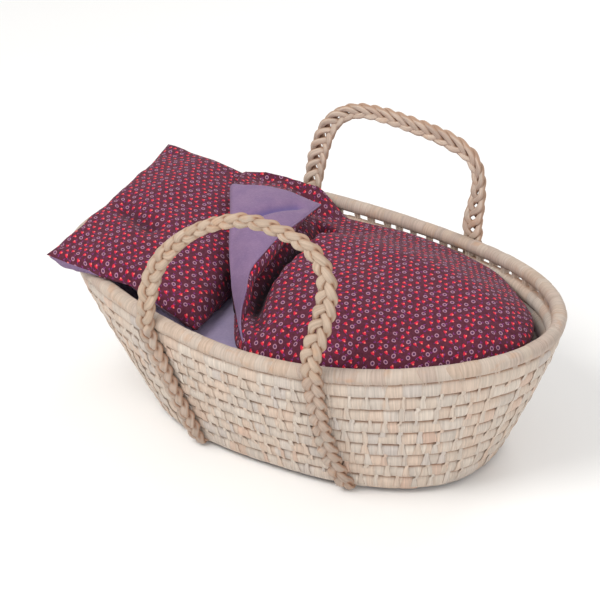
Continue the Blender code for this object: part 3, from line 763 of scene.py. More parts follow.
def base_floor():
    """The base: one wrapped coil wound from a straight core."""
    pitch = 2 * COIL_R + 0.0003
    turns = math.floor(2 * ((BASE_B - 0.22 * pitch) / pitch - 1.02)) / 2
    per = 90
    u = np.arange(int(turns * per) + 1) / per
    inset = pitch * (1.02 + u)
    half = np.maximum(BASE_B - inset, 0.004)
    a = 2 * math.pi * u + math.pi
    t = np.arctan2(half * np.sin(a), (half + BASE_A - BASE_B) * np.cos(a))
    xy = inner_oval(t, inset)
    line = np.stack([xy[:, 0] + BASE_SHIFT, xy[:, 1], np.full(len(xy), COIL_R + LIFT_BASE)], 1)
    total = np.linalg.norm(np.diff(line, axis=0), axis=1).sum()
    start, width = cells_along(total, 0.010, 0.016, 91.0)
    pos = np.concatenate([[0], np.cumsum(np.linalg.norm(np.diff(line, axis=0), axis=1))])
    tan = unit(np.gradient(line, axis=0))
    stops = (0.0, 0.06, 0.25, 0.6, 0.9)
    want = np.concatenate([start[i] + width[i] * np.array(stops) for i in range(len(start))])
    depth = np.tile(np.array([-0.00045, -0.0001, 0.0, 0.0, -0.0001]), len(start)) + np.repeat((hashed(np.arange(len(start)), 92.0) - 0.5) * 0.0005, len(stops))
    tint = np.repeat(hashed(np.arange(len(start)), 93.0), len(stops))
    centre = np.stack([np.interp(want, pos, line[:, k]) for k in range(3)], 1)
    tang = unit(np.stack([np.interp(want, pos, tan[:, k]) for k in range(3)], 1))
    side = unit(np.cross(np.array((0, 0, 1.0)), tang))
    ang = np.linspace(0, 2 * math.pi, 13)[:-1]
    c, s = np.cos(ang), np.sin(ang)
    shape = (np.abs(c) ** 2.8 + np.abs(s) ** 2.8) ** (-1 / 2.8)
    rings = centre[:, None] + side[:, None] * ((0.0067 + depth)[:, None] * (c * shape)[None])[..., None] + np.array((0, 0, 1.0)) * ((0.0064 + depth)[:, None] * (s * shape)[None])[..., None]
    flat = np.stack([np.broadcast_to(want[:, None], (len(want), 12)), np.broadcast_to(ang[None] * 0.0067, (len(want), 12)), np.zeros((len(want), 12))], -1)
    # dirt and painted shade where the turns of the coil meet
    dark = np.broadcast_to(np.clip((np.abs(c) - 0.8) / 0.2, 0, 1)[None] * 0.9, (len(want), 12))
    bag = Bag()
    bag.add(rings, flat, np.broadcast_to(tint[:, None], (len(want), 12)), dark)
    obj = outwards(bag.object("base_wrapped", [PALM]))
    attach(obj, "basket")
    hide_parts("base_coil")


# ------------------------------------------------------------------- braids
def hinge_of(feet, side):
    out = []
    for x in feet:
        t = angle_at(1.0, x, side)
        p = wall(1.0, t)
        out.append((x, p[1] + side * (RIM_R + GAP + BRAID_T / 2 + 0.0004), p[2] + HINGE_UP))
    (x0, y0, z0), (x1, y1, z1) = out
    return (x0 + x1) / 2, side * max(abs(y0), abs(y1)), max(z0, z1)


def arch(feet, side, rise, head, foot, fatten_head, fatten_foot, lean, skew, slope):
    xm, y0, z0 = hinge_of(feet, side)
    half = (feet[1] - feet[0]) / 2
    a = np.linspace(0, math.pi, 241)
    c, s = -np.cos(a), np.sin(a)
    power = np.where(c < 0, head, foot)
    bulge = np.where(c < 0, fatten_head, fatten_foot)
    u = np.sign(c) * np.abs(c) ** (2 / power)
    w = np.abs(s) ** (2 / power)
    line = np.stack([xm + half * u * (1 + bulge * w) + skew * w, y0 + lean * w, z0 + rise * w * (1 + slope * u)], 1)
    return resample(line, 161)


def leg(side, x_top, x_low, z_stop):
    """From the middle under the base, up the outside of the wall."""
    pts, nor = [], []
    # under the base
    t0 = angle_at(0.0, x_low, side)
    corner = wall(0.0, t0)
    n0 = outward(0.0, t0)
    flat = unit(np.array((n0[0], n0[1], 0.0)))
    reach = COIL_R + GAP + STRAP_T / 2
    end_x = corner[0]
    for q in np.linspace(0, 1, 24, endpoint=False):
        y = corner[1] * q
        pts.append((end_x, y, STRAP_T / 2))
        nor.append((0, 0, -1.0))
    first = math.atan2(n0[2], math.hypot(n0[0], n0[1])) - 0.12
    for a in np.linspace(-math.pi / 2, first, 10):
        face = flat * math.cos(a) + np.array((0, 0, math.sin(a)))
        pts.append(corner + face * reach)
        nor.append(face)
    for s in np.linspace(0.05, 1.0, 30):
        x = x_low + (x_top - x_low) * s**1.15
        if side < 0 and x_low > 0:
            x -= 0.0055 * math.sin(math.pi * s**0.7)
        t = angle_at(s, x, side)
        n = outward(s, t)
        out = COIL_R + (RIM_R - COIL_R) * soft((s - 0.75) / 0.2) + GAP + BRAID_T / 2 + 0.0002
        p = wall(s, t) + n * out
        if p[2] < z_stop:
            pts.append(p)
            nor.append(n)
    return np.array(pts, float), np.array(nor, float)


def braid(name, side, feet, shape, strands, half_wide, wave, strand_w, strand_t, cycle, widths, mats, seed):
    """An interlaced flat braid: every strand snakes from edge to edge and
    passes over and under the others by turns."""
    xm, y0, z0 = hinge_of(feet, side)
    arc = arch(feet, side, **shape)
    legs = [leg(side, feet[k], BASE_FEET[k], z0 - 0.004) for k in (0, 1)]
    face = np.tile((0.0, float(side), 0.0), (len(arc), 1))
    pts = np.vstack([legs[0][0], arc[2:-2], legs[1][0][::-1]])
    nor = np.vstack([legs[0][1], face[2:-2], legs[1][1][::-1]])
    both = resample(np.hstack([pts, nor]), 760)
    both = blur(both, 2)
    pts, nor = both[:, :3], both[:, 3:]
    run = np.concatenate([[0], np.cumsum(np.linalg.norm(np.diff(pts, axis=0), axis=1))])
    # a hand-made braid wanders
    pts = pts + unit(nor) * (value_noise(np.stack([run * 38, run * 0 + seed], 1), seed) * 0.0006)[:, None]
    tan = unit(np.gradient(pts, axis=0))
    nor = unit(nor - (nor * tan).sum(1, keepdims=True) * tan)
    wide = np.cross(tan, nor)
    steps = 6 * int(run[-1] / cycle * 9)
    at = np.linspace(0, run[-1], steps)

    def read(v):
        return np.stack([np.interp(at, run, v[:, k]) for k in range(3)], 1)

    P, N, W = read(pts), unit(read(nor)), unit(read(wide))
    # how wide the braid is drawn, from the head foot over the top to the foot end
    first_, last_ = run[np.argmax(pts[:, 2] > z0)], run[len(run) - 1 - np.argmax(pts[::-1, 2] > z0)]
    spread = np.interp((at - first_) / (last_ - first_), *widths)
    spread = blur(spread[:, None], 9)[:, 0]
    under = soft((0.020 - P[:, 2]) / 0.012)
    bag_arch = Bag()
    sides = 16
    ring = np.linspace(0, 2 * math.pi, sides, endpoint=False)
    drift = value_noise(np.stack([at * 22, at * 0 + 3.3], 1), seed + 1) * 0.35
    for k in range(strands):
        phase = 2 * math.pi * k / strands
        th = 2 * math.pi * at / cycle + phase + drift
        # a flattened sine keeps the strand straight between the edges
        lat = np.sin(th) + 0.10 * np.sin(3 * th)
        lat = lat / 0.93
        over = np.sin((strands - 1) * th) if strands % 2 else (np.sin(2 * th) + 0.5 * np.cos(th)) / 1.3
        # the strand turns over at each edge, where it is thickest
        edge = np.abs(np.sin(th)) ** 3
        fat = 1 + 0.10 * value_noise(np.stack([at * 60, at * 0 + k * 7.7], 1), seed + 2) + 0.10 * np.abs(over)
        w = (half_wide * spread - strand_w * 0.42) * (1 + 0.14 * value_noise(np.stack([at * 31, at * 0 + 9.1], 1), seed + 6))
        c = P + W * (lat * w)[:, None] + N * (over * wave * (1 - 0.35 * under))[:, None]
        c = c + N * (value_noise(np.stack([at * 90, at * 0 + k * 3.1], 1), seed + 5) * 0.00035)[:, None]
        d = unit(np.gradient(c, axis=0))
        n = unit(N - (N * d).sum(1, keepdims=True) * d)
        b = np.cross(d, n)
        # the strip twists a little as it goes round the edge
        tw = 0.55 * np.cos(th) * edge * 0 + 0.5 * np.sin(th) * np.abs(np.sin(th)) ** 2
        n2 = n * np.cos(tw)[:, None] + b * np.sin(tw)[:, None]
        b2 = b * np.cos(tw)[:, None] - n * np.sin(tw)[:, None]
        rw = strand_w / 2 * fat * (0.45 + 0.55 * np.minimum(spread, 1.0))
        rt = strand_t / 2 * (1 + 0.16 * edge) * (1 - 0.12 * under)
        wander = 0.5 * value_noise(np.stack([at * 26, at * 0 + k * 2.9], 1), seed + 7)[:, None]
        folds = 1 + 0.05 * np.sin(ring * 3 + k * 1.7)[None] * (0.6 + 0.4 * value_noise(np.stack([at * 45, at * 0 + k], 1), seed + 3))[:, None]
        # the strand is two leaves laid together, with a groove between them
        folds = folds - 0.20 * np.exp(-(((ring[None] - math.pi / 2 - wander) / 0.30) ** 2)) - 0.20 * np.exp(-(((ring[None] - 3 * math.pi / 2 + wander) / 0.30) ** 2))
        rings = c[:, None] + b2[:, None] * ((rw[:, None] * np.cos(ring)[None]) * folds)[..., None] + n2[:, None] * ((rt[:, None] * np.sin(ring)[None]) * folds)[..., None]
        # keep clear of what the braid lies on, and of the ground
        rings[..., 2] = np.maximum(rings[..., 2], 0.00005)
        flat = np.stack([np.broadcast_to(ring[None] * strand_w / 2 + k * 0.31, (steps, sides)), np.broadcast_to(at[:, None] + k * 0.77, (steps, sides)), np.zeros((steps, sides))], -1)
        tint = 0.5 + 0.45 * value_noise(np.stack([at * 16, at * 0 + k * 5.3], 1), seed + 4)
        # painted shade in the creases: near the middle plane and away from the two edges
        off = ((rings - P[:, None]) * N[:, None]).sum(-1)
        aside = np.abs(((rings - P[:, None]) * W[:, None]).sum(-1)) / (half_wide * spread[:, None])
        shade = 0.95 * np.clip(1.15 - np.abs(off) / 0.0017, 0, 1) * np.clip((1.0 - aside) / 0.30, 0, 1)
        # painted shade along the two edges of each strand
        low = np.clip((np.abs(np.cos(ring)) - 0.80) / 0.2, 0, 1)[None] * 0.50
        bag_arch.add(rings, flat, tint[:, None], np.maximum(shade, low))
    obj = outwards(bag_arch.object(name, [mats[0], mats[1]]))
    # the arch has one colour of leaf, the straps another
    z = np.zeros(len(obj.data.vertices) * 3)
    obj.data.vertices.foreach_get("co", z)
    z = z.reshape(-1, 3)[:, 2]
    idx = [1 if z[p.vertices[0]] < z0 - 0.012 else 0 for p in obj.data.polygons]
    obj.data.polygons.foreach_set("material_index", np.array(idx, np.int32))
    return obj, (xm, y0, z0)


def braids():
    near, (x, y, z) = braid("near_braid", -1, NEAR_FEET, NEAR_ARCH, 3, 0.0084, 0.0022, 0.0076, 0.0052, 0.0430, ((-0.1, 0.0, 0.10, 0.30, 0.45, 0.58, 0.70, 0.85, 1.0, 1.1), (1.0, 1.0, 0.96, 0.76, 0.74, 0.78, 0.95, 1.14, 1.10, 1.0)), (BRAID_NEAR, BRAID_STRAP), 21.0)
    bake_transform(near)
    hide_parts("near_handle", "near_head_strap", "near_foot_strap", "head_under_strap", "foot_under_strap")
    far, (x, y, z) = braid("far_braid", 1, FAR_FEET, FAR_ARCH, 4, 0.0084, 0.0022, 0.0060, 0.0046, 0.0520, ((-0.1, 0.0, 0.12, 0.25, 0.38, 0.55, 0.70, 0.80, 0.90, 1.0, 1.1), (1.0, 1.08, 1.10, 0.98, 0.86, 0.98, 1.04, 0.80, 0.86, 1.25, 1.0)), (BRAID_FAR, BRAID_STRAP), 27.0)
    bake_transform(far)
    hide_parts("far_handle", "far_head_strap", "far_foot_strap")


# ------------------------------------------------------------------ bedding
def over_rim(x, y, clear=0.0022):
    """The lowest height that clears the rim coil at this place in plan."""
    t = np.linspace(0, 2 * math.pi, 361)[:-1]
    ring = wall(1.0, t)
    x, y = np.asarray(x, float), np.asarray(y, float)
    flat_x, flat_y = x.ravel(), y.ravel()
    away = np.hypot(ring[None, :, 0] - flat_x[:, None], ring[None, :, 1] - flat_y[:, None])
    k = away.argmin(1)
    near = away[np.arange(len(k)), k]
    inside = np.hypot(flat_x - BASE_SHIFT, flat_y) < np.hypot(ring[k, 0] - BASE_SHIFT, ring[k, 1])
    top = ring[k, 2] + RIM_R + clear
    # it falls away faster on the far side, towards the foot edge
    fall = 1.15 + 1.7 * soft((flat_y - 0.05) / 0.05) * soft((flat_x + 0.15) / 0.05)
    out = np.where(inside, top - fall * np.maximum(0.0, near - 1.5 * RIM_R), top)
    return out.reshape(x.shape)


def cloth(obj, frames, pressure, shrink, pinned=None, stiff=12.0, bend=0.4, mass=0.25):
    """Lets a stuffed case swell, and returns where its points came to."""
    mod = obj.modifiers.new("Cloth", "CLOTH")
    s = mod.settings
    s.quality = 5
    s.mass = mass
    s.tension_stiffness = s.compression_stiffness = stiff
    s.shear_stiffness = stiff * 0.6
    s.bending_stiffness = bend
    s.tension_damping = s.compression_damping = s.shear_damping = 8
    s.air_damping = 4
    s.use_pressure = True
    s.uniform_pressure_force = pressure
    s.shrink_min = shrink
    s.effector_weights.gravity = 0
    if pinned is not None:
        group = obj.vertex_groups.new(name="pin")
        for i, w in enumerate(pinned):
            if w > 0:
                group.add([i], float(w), "REPLACE")
        s.vertex_group_mass = "pin"
    mod.collision_settings.use_collision = False
    mod.collision_settings.use_self_collision = False
    mod.point_cache.frame_start = 1
    mod.point_cache.frame_end = frames
    for f in range(1, frames + 1):
        scene.frame_set(f)
    dg = bpy.context.evaluated_depsgraph_get()
    e = obj.evaluated_get(dg)
    me = e.to_mesh()
    co = np.zeros(len(me.vertices) * 3)
    me.vertices.foreach_get("co", co)
    e.to_mesh_clear()
    obj.modifiers.remove(mod)
    obj.vertex_groups.clear()
    scene.frame_set(1)
    return co.reshape(-1, 3)


def grid_case(nx, ny, point):
    """Two layers of a grid that share their edge. point(u, v, side) gives each
    vertex. Returns vertices, faces, face sides, and the grid place of each."""
    verts, index, place = [], {}, []
    for i in range(nx + 1):
        for j in range(ny + 1):
            u, v = 2 * i / nx - 1, 2 * j / ny - 1
            edge = i in (0, nx) or j in (0, ny)
            index[1, i, j] = index[-1, i, j] = len(verts)
            verts.append(point(u, v, 0 if edge else 1))
            place.append((u, v, 0 if edge else 1))
            if not edge:
                index[-1, i, j] = len(verts)
                verts.append(point(u, v, -1))
                place.append((u, v, -1))
    faces, sides = [], []
    for side in (1, -1):
        for i in range(nx):
            for j in range(ny):
                quad = [index[side, i, j], index[side, i + 1, j], index[side, i + 1, j + 1], index[side, i, j + 1]]
                faces.append(quad if side > 0 else quad[::-1])
                sides.append(side)
    return np.array(verts), faces, np.array(sides), np.array(place)


def pillow():
    nx, ny = 56, 84

    def start(u, v, side):
        full = (1 - abs(u) ** 3) ** 0.8 * (1 - abs(v) ** 3) ** 0.8
        return (u * PILLOW_L / 2, v * PILLOW_W / 2, side * 0.010 * full)

    verts, faces, sides, place = grid_case(nx, ny, start)
    scratch = build("pillow_start", verts, faces, [])
    local = cloth(scratch, 26, 3.2, -0.035, stiff=14.0, bend=0.25, mass=0.2)
    bpy.data.objects.remove(scratch, do_unlink=True)
    local = local - (local.min(0) + local.max(0)) / 2
    size = local.max(0) - local.min(0)
    print("pillow case after swelling", np.round(size * 1000, 1))
    local[:, 0] *= PILLOW_L / size[0]
    local[:, 1] *= PILLOW_W / size[1]
    top_h = local[:, 2].max()
    rise = np.where(local[:, 2] > 0, local[:, 2] / top_h * PILLOW_T / 2, local[:, 2] / top_h * PILLOW_BELLY)
    # it is thinner towards the head edge, which is drawn in between the corners
    to_head = soft((-local[:, 0] / PILLOW_L - 0.10) / 0.30)
    rise = np.where(rise > 0, rise * (1 - 0.30 * to_head), rise)
    local[:, 0] = local[:, 0] + 0.0030 * to_head * (1 - (2 * local[:, 1] / PILLOW_W) ** 2)
    cp, sp = math.cos(PILLOW_PITCH), math.sin(PILLOW_PITCH)
    cy, sy = math.cos(PILLOW_YAW), math.sin(PILLOW_YAW)
    a, b = local[:, 0], local[:, 1]
    x = PILLOW_AT[0] + a * cp * cy - b * sy
    y = PILLOW_AT[1] + a * cp * sy + b * cy
    middle = PILLOW_AT[2] - a * sp
    # the near corners sag, one over the rim and one onto the mattress
    head_near = np.clip((0.5 - a / PILLOW_L) * (0.5 - b / PILLOW_W), 0, 1) ** 2
    foot_near = np.clip((0.5 + a / PILLOW_L) * (0.5 - b / PILLOW_W), 0, 1) ** 2
    foot_far = np.clip((0.5 + a / PILLOW_L) * (0.5 + b / PILLOW_W), 0, 1) ** 1.3
    x = x + head_near * 0.0085
    y = y + head_near * 0.0045
    middle = middle - head_near * 0.0030 - foot_near * 0.0078 - foot_far * 0.0130
    # a soft dent from the head edge towards the middle
    p0, p1 = np.array((-0.200, -0.030)), np.array((-0.1443, -0.0451))
    d = p1 - p0
    q = np.clip(((x - p0[0]) * d[0] + (y - p0[1]) * d[1]) / (d @ d), 0, 1)
    far = np.hypot(x - p0[0] - q * d[0], y - p0[1] - q * d[1])
    dent = 0.0080 * np.exp(-((far / 0.012) ** 2)) * (rise > 0) * soft(rise / 0.012) * soft((x + 0.196) / 0.022)
    edge = np.minimum(1 - np.abs(place[:, 0]), 1 - np.abs(place[:, 1]))
    along = np.where(np.abs(place[:, 0]) > np.abs(place[:, 1]), place[:, 1] * 9.0, place[:, 0] * 6.5 + 40)
    pucker = value_noise(np.stack([along, edge * 2.5], 1), 12.0) * 0.0016 * soft(edge / 0.05) * soft((0.42 - edge) / 0.30)
    folds = value_noise(np.stack([a * 30 + b * 9, b * 34 - a * 12], 1), 13.0) * 0.0016 * soft(edge / 0.2)
    top = middle + rise - dent + (pucker + folds) * (place[:, 2] > 0)
    floor = np.maximum(over_rim(x, y), MATTRESS_TOP + 0.0012)
    lift = np.maximum(0, floor - (middle + np.minimum(rise, 0)))
    under = place[:, 2] <= 0
    z = np.where(under, np.maximum(middle + rise, floor), top)
    # the top stays above the pushed-up underside
    need = floor + 0.35 * np.maximum(rise, 0)
    z = np.where(place[:, 2] > 0, np.maximum(z, need), z)
    world = np.stack([x, y, z], 1)
    flat = np.stack([verts[:, 0] + 0.3, verts[:, 1] + (place[:, 2] < 0) * 0.7, np.zeros(len(verts))], 1)
    # painted shade where it runs down under the turned-back corner, and in the dent
    painted_shade = 0.34 * soft((place[:, 0] - 0.42) / 0.5) * (0.6 + 0.8 * value_noise(np.stack([a * 60, b * 60], 1), 17.0)) + 0.5 * dent / 0.008
    # the print wraps round the foot edge
    at_foot = np.array([place[list(f), 0].mean() > 0.70 for f in faces])
    obj = build("pillow_case", world, faces, [PRINTED, LILAC], index=((sides < 0) & ~at_foot).astype(int), flat=flat, dark=painted_shade)
    outwards(obj)
    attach(obj, "pillow")
    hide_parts("pillow")
    return world[place[:, 2] >= 0]


FOLD = [(-0.1172, 0.0514, 0.186), (-0.0870, 0.0024, 0.184), (-0.0654, -0.0346, 0.176), (-0.0435, -0.0672, 0.163), (-0.0344, -0.0800, 0.156), (-0.0197, -0.0978, 0.148), (-0.0083, -0.1124, 0.143), (0.0036, -0.1272, 0.1385)]
SEAM = [(-0.0277, 0.0698, 0.178), (-0.0222, 0.0219, 0.184), (-0.0192, -0.0227, 0.188), (-0.0177, -0.0551, 0.185), (-0.0199, -0.0728, 0.176), (-0.0140, -0.0900, 0.165), (-0.0100, -0.1040, 0.155), (-0.0037, -0.1162, 0.1465), (0.0072, -0.1302, 0.141)]
CREASE = [(-0.022, 0.066, 0), (-0.017, 0.030, 0), (-0.0145, -0.010, 0), (-0.013, -0.044, 0), (-0.010, -0.068, 0), (-0.003, -0.088, 0), (0.006, -0.104, 0), (0.014, -0.114, 0)]


def line_distance(x, y, line):
    """Distance in plan to a line, and how far along it the nearest point is."""
    a, b = line[:-1, :2], line[1:, :2]
    d = b - a
    p = np.stack([x, y], -1)[:, None]
    t = np.clip(((p - a) * d).sum(-1) / (d * d).sum(-1), 0, 1)
    away = np.linalg.norm(p - (a + t[..., None] * d), axis=-1)
    k = away.argmin(1)
    return away[np.arange(len(k)), k], (k + t[np.arange(len(k)), k]) / len(a)


def duvet(pillow_top):
    count, rings = 216, 60
    centre = np.array(DUVET_MIDDLE)
    head = np.array(DUVET_HEAD_FAR) - np.array(DUVET_HEAD_NEAR)
    square = np.array((-head[1], head[0]))
    square /= np.linalg.norm(square)
    if square @ (np.array(DUVET_HEAD_FAR) - centre) < 0:
        square = -square
    depth = square @ (np.array(DUVET_HEAD_FAR) - centre)
    ring = wall(1.0, np.linspace(0, 2 * math.pi, 721)[:-1])
    ring_angle = np.arctan2(ring[:, 1] - centre[1], ring[:, 0] - centre[0])
    ring_reach = np.hypot(ring[:, 0] - centre[0], ring[:, 1] - centre[1])
    order = np.argsort(ring_angle)
    a = 2 * math.pi * np.arange(count) / count
    way = np.stack([np.cos(a), np.sin(a)], 1)
    limits = np.interp(np.where(a < math.pi, a, a - 2 * math.pi), ring_angle[order], ring_reach[order], period=2 * math.pi) - RIM_R
    # it lies against the rim along the sides and stops short of it at the foot
    limits = limits - DUVET_CLEAR - 0.0105 * soft((limits * way[:, 0] + centre[0] - 0.135) / 0.07)
    total = limits**-14.0
    ws = way @ square
    total = total + np.where(ws > 0.05, (depth / np.maximum(ws, 0.05)) ** -14.0, 0)
    total = total + np.where(np.abs(way[:, 1]) > 0.05, (DUVET_SIDE / np.maximum(np.abs(way[:, 1]), 0.05)) ** -14.0, 0)
    outline = total ** (-1 / 14.0)
    f = np.sin(math.pi / 2 * (np.arange(rings) + 1) / rings)
    R = f[:, None] * outline[None]
    X = centre[0] + R * np.cos(a)[None]
    Y = centre[1] + R * np.sin(a)[None]
    F = np.broadcast_to(f[:, None], X.shape)
    x, y, ff = X.ravel(), Y.ravel(), F.ravel()
    full = (1 - ff**2.6) ** 0.60
    # the pillow's top under the duvet
    pt = pillow_top
    floor_p = np.full(len(x), -1.0)
    for k in range(0, len(x), 4000):
        away = np.hypot(pt[None, :, 0] - x[k : k + 4000, None], pt[None, :, 1] - y[k : k + 4000, None])
        floor_p[k : k + 4000] = (pt[None, :, 2] + 0.0018 - 1.0 * np.maximum(away - 0.004, 0)).max(1)
    floor = np.maximum(MATTRESS_TOP + 0.0012, floor_p)
    seam = np.maximum(DUVET_SEAM - 0.0035 * soft((y - 0.02) / 0.08), floor + 0.004)
    crest = DUVET_CREST + 0.005 * soft((0.03 - x) / 0.13) - 0.004 * soft((x - 0.08) / 0.12) - 0.018 * soft((y - 0.01) / 0.10) * soft((x + 0.07) / 0.08) - 0.011 * soft((y - 0.02) / 0.05) * soft((0.035 - x) / 0.05)
    crest = crest - 0.0105 * soft((y - 0.075) / 0.035) * soft((0.000 - x) / 0.04) - 0.012 * soft((-0.116 - x) / 0.018) * soft((y - 0.06) / 0.03)
    high = seam + full * (crest - DUVET_SEAM)
    high = np.minimum(high, np.maximum(crest + 0.004, floor + 0.008))
    # broad unevenness of the filling
    uneven = value_noise(np.stack([x * 17, y * 19], 1), 5.0) * 0.0022 + value_noise(np.stack([x * 42, y * 38], 1), 6.0) * 0.0007
    high = high + uneven * soft((1 - ff) / 0.25)
    # puckers run in from the seam
    ang = np.broadcast_to(a[None], X.shape).ravel()
    pucker = value_noise(np.stack([ang * 26, ff * 2.0], 1), 8.0) * 0.0026 * soft((ff - 0.55) / 0.3) * soft((1.0 - ff) / 0.05) * soft((0.03 - y) / 0.05) * (0.35 + 0.65 * soft((x - 0.0) / 0.03))
    high = high + pucker
    fold = smooth_line(FOLD, 120)
    seam_line = smooth_line(SEAM, 120)
    crease = smooth_line(CREASE, 90)
    away, along = line_distance(x, y, crease)
    valley = soft((1.02 - ff) / 0.1) * (1 - 0.55 * soft((along - 0.72) / 0.28))
    high = high - 0.0185 * np.exp(-((away / 0.0080) ** 2)) * valley
    shadow = 1.0 * np.exp(-((away / 0.0078) ** 2)) * valley
    # small tucks run out of it on the foot side
    tuck = np.exp(-(((away - 0.012) / 0.010) ** 2)) * valley * (x > -0.016)
    high = high + value_noise(np.stack([along * 26, away * 20], 1), 19.0) * 0.0026 * tuck
    shadow = np.maximum(shadow, 0.22 * soft((-0.098 - y) / 0.02) * soft((0.10 - x) / 0.06))
    # a smaller fold runs off the crease
    away2, _ = line_distance(x, y, smooth_line([(0.000, -0.085, 0), (0.030, -0.060, 0), (0.060, -0.052, 0)], 40))
    high = high - 0.0025 * np.exp(-((away2 / 0.010) ** 2))
    # under the turned-back corner the body lies lower
    poly = np.vstack([fold[:, :2], seam_line[::-1, :2]])
    inside = in_polygon(x, y, poly)
    fz = np.interp(-y, -fold[:, 1], fold[:, 2])
    high = np.where(inside, np.minimum(high, fz - 0.008), high)
    high = np.maximum(high, floor + 0.0035)
    low = np.maximum(seam - full * (DUVET_SEAM - MATTRESS_TOP + 0.02), floor)
    low = np.minimum(low, high - 0.003)
    # print coordinates: length along each spoke
    top = np.stack([x, y, high], 1).reshape(rings, count, 3)
    tip = np.array((centre[0], centre[1], high.reshape(rings, count)[0].mean() + 0.0002))
    step = np.linalg.norm(np.diff(np.concatenate([np.broadcast_to(tip, (1, count, 3)), top]), axis=0), axis=2)
    arc = np.cumsum(step, 0)
    blend_len = 0.96 * (arc * 0.72 + R * 1.12 * 0.28)
    flat_top = np.stack([blend_len * np.cos(a)[None], blend_len * np.sin(a)[None], np.zeros_like(arc)], -1)
    low_pts = np.stack([x, y, low], 1).reshape(rings, count, 3)
    flat_low = flat_top + np.array((0.9, 0.4, 0))
    verts = np.vstack([tip[None], [[centre[0], centre[1], MATTRESS_TOP + 0.0012]], top.reshape(-1, 3), low_pts.reshape(-1, 3)])
    flat = np.vstack([[[0, 0, 0]], [[0.9, 0.4, 0]], flat_top.reshape(-1, 3), flat_low.reshape(-1, 3)])
    faces, index = [], []
    first = 2 + rings * count
    # lining shows on the head side, under the turned-back corner
    head_side = ((X - centre[0]) * square[0] + (Y - centre[1]) * square[1]) > depth - 0.012
    for k in range(count):
        m = (k + 1) % count
        faces.append((0, 2 + k, 2 + m))
        index.append(0)
        faces.append((1, first + m, first + k))
        index.append(1)
        for i in range(rings - 1):
            p, q = 2 + i * count, 2 + (i + 1) * count
            faces.append((p + k, q + k, q + m, p + m))
            lining = head_side[i, k] and -0.086 < Y[i, k] < 0.052 and i > rings - 14
            index.append(1 if lining else 0)
            p, q = first + i * count, first + (i + 1) * count
            faces.append((p + k, p + m, q + m, q + k))
            index.append(1)
        p, q = 2 + (rings - 1) * count, first + (rings - 1) * count
        faces.append((p + k, q + k, q + m, p + m))
        index.append(1 if head_side[-1, k] and -0.086 < Y[-1, k] < 0.052 else 0)
    shadow = np.concatenate([np.zeros(2), shadow, np.zeros(len(shadow))])
    obj = build("duvet_body", verts, faces, [PRINTED, LILAC], index=index, flat=flat, dark=shadow)
    outwards(obj)
    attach(obj, "duvet")
    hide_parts("duvet")
    flap(fold, seam_line)


def in_polygon(x, y, poly):
    inside = np.zeros(len(x), bool)
    j = len(poly) - 1
    for i in range(len(poly)):
        xi, yi = poly[i]
        xj, yj = poly[j]
        cross = ((yi > y) != (yj > y)) & (x < (xj - xi) * (y - yi) / (yj - yi + 1e-15) + xi)
        inside ^= cross
        j = i
    return inside


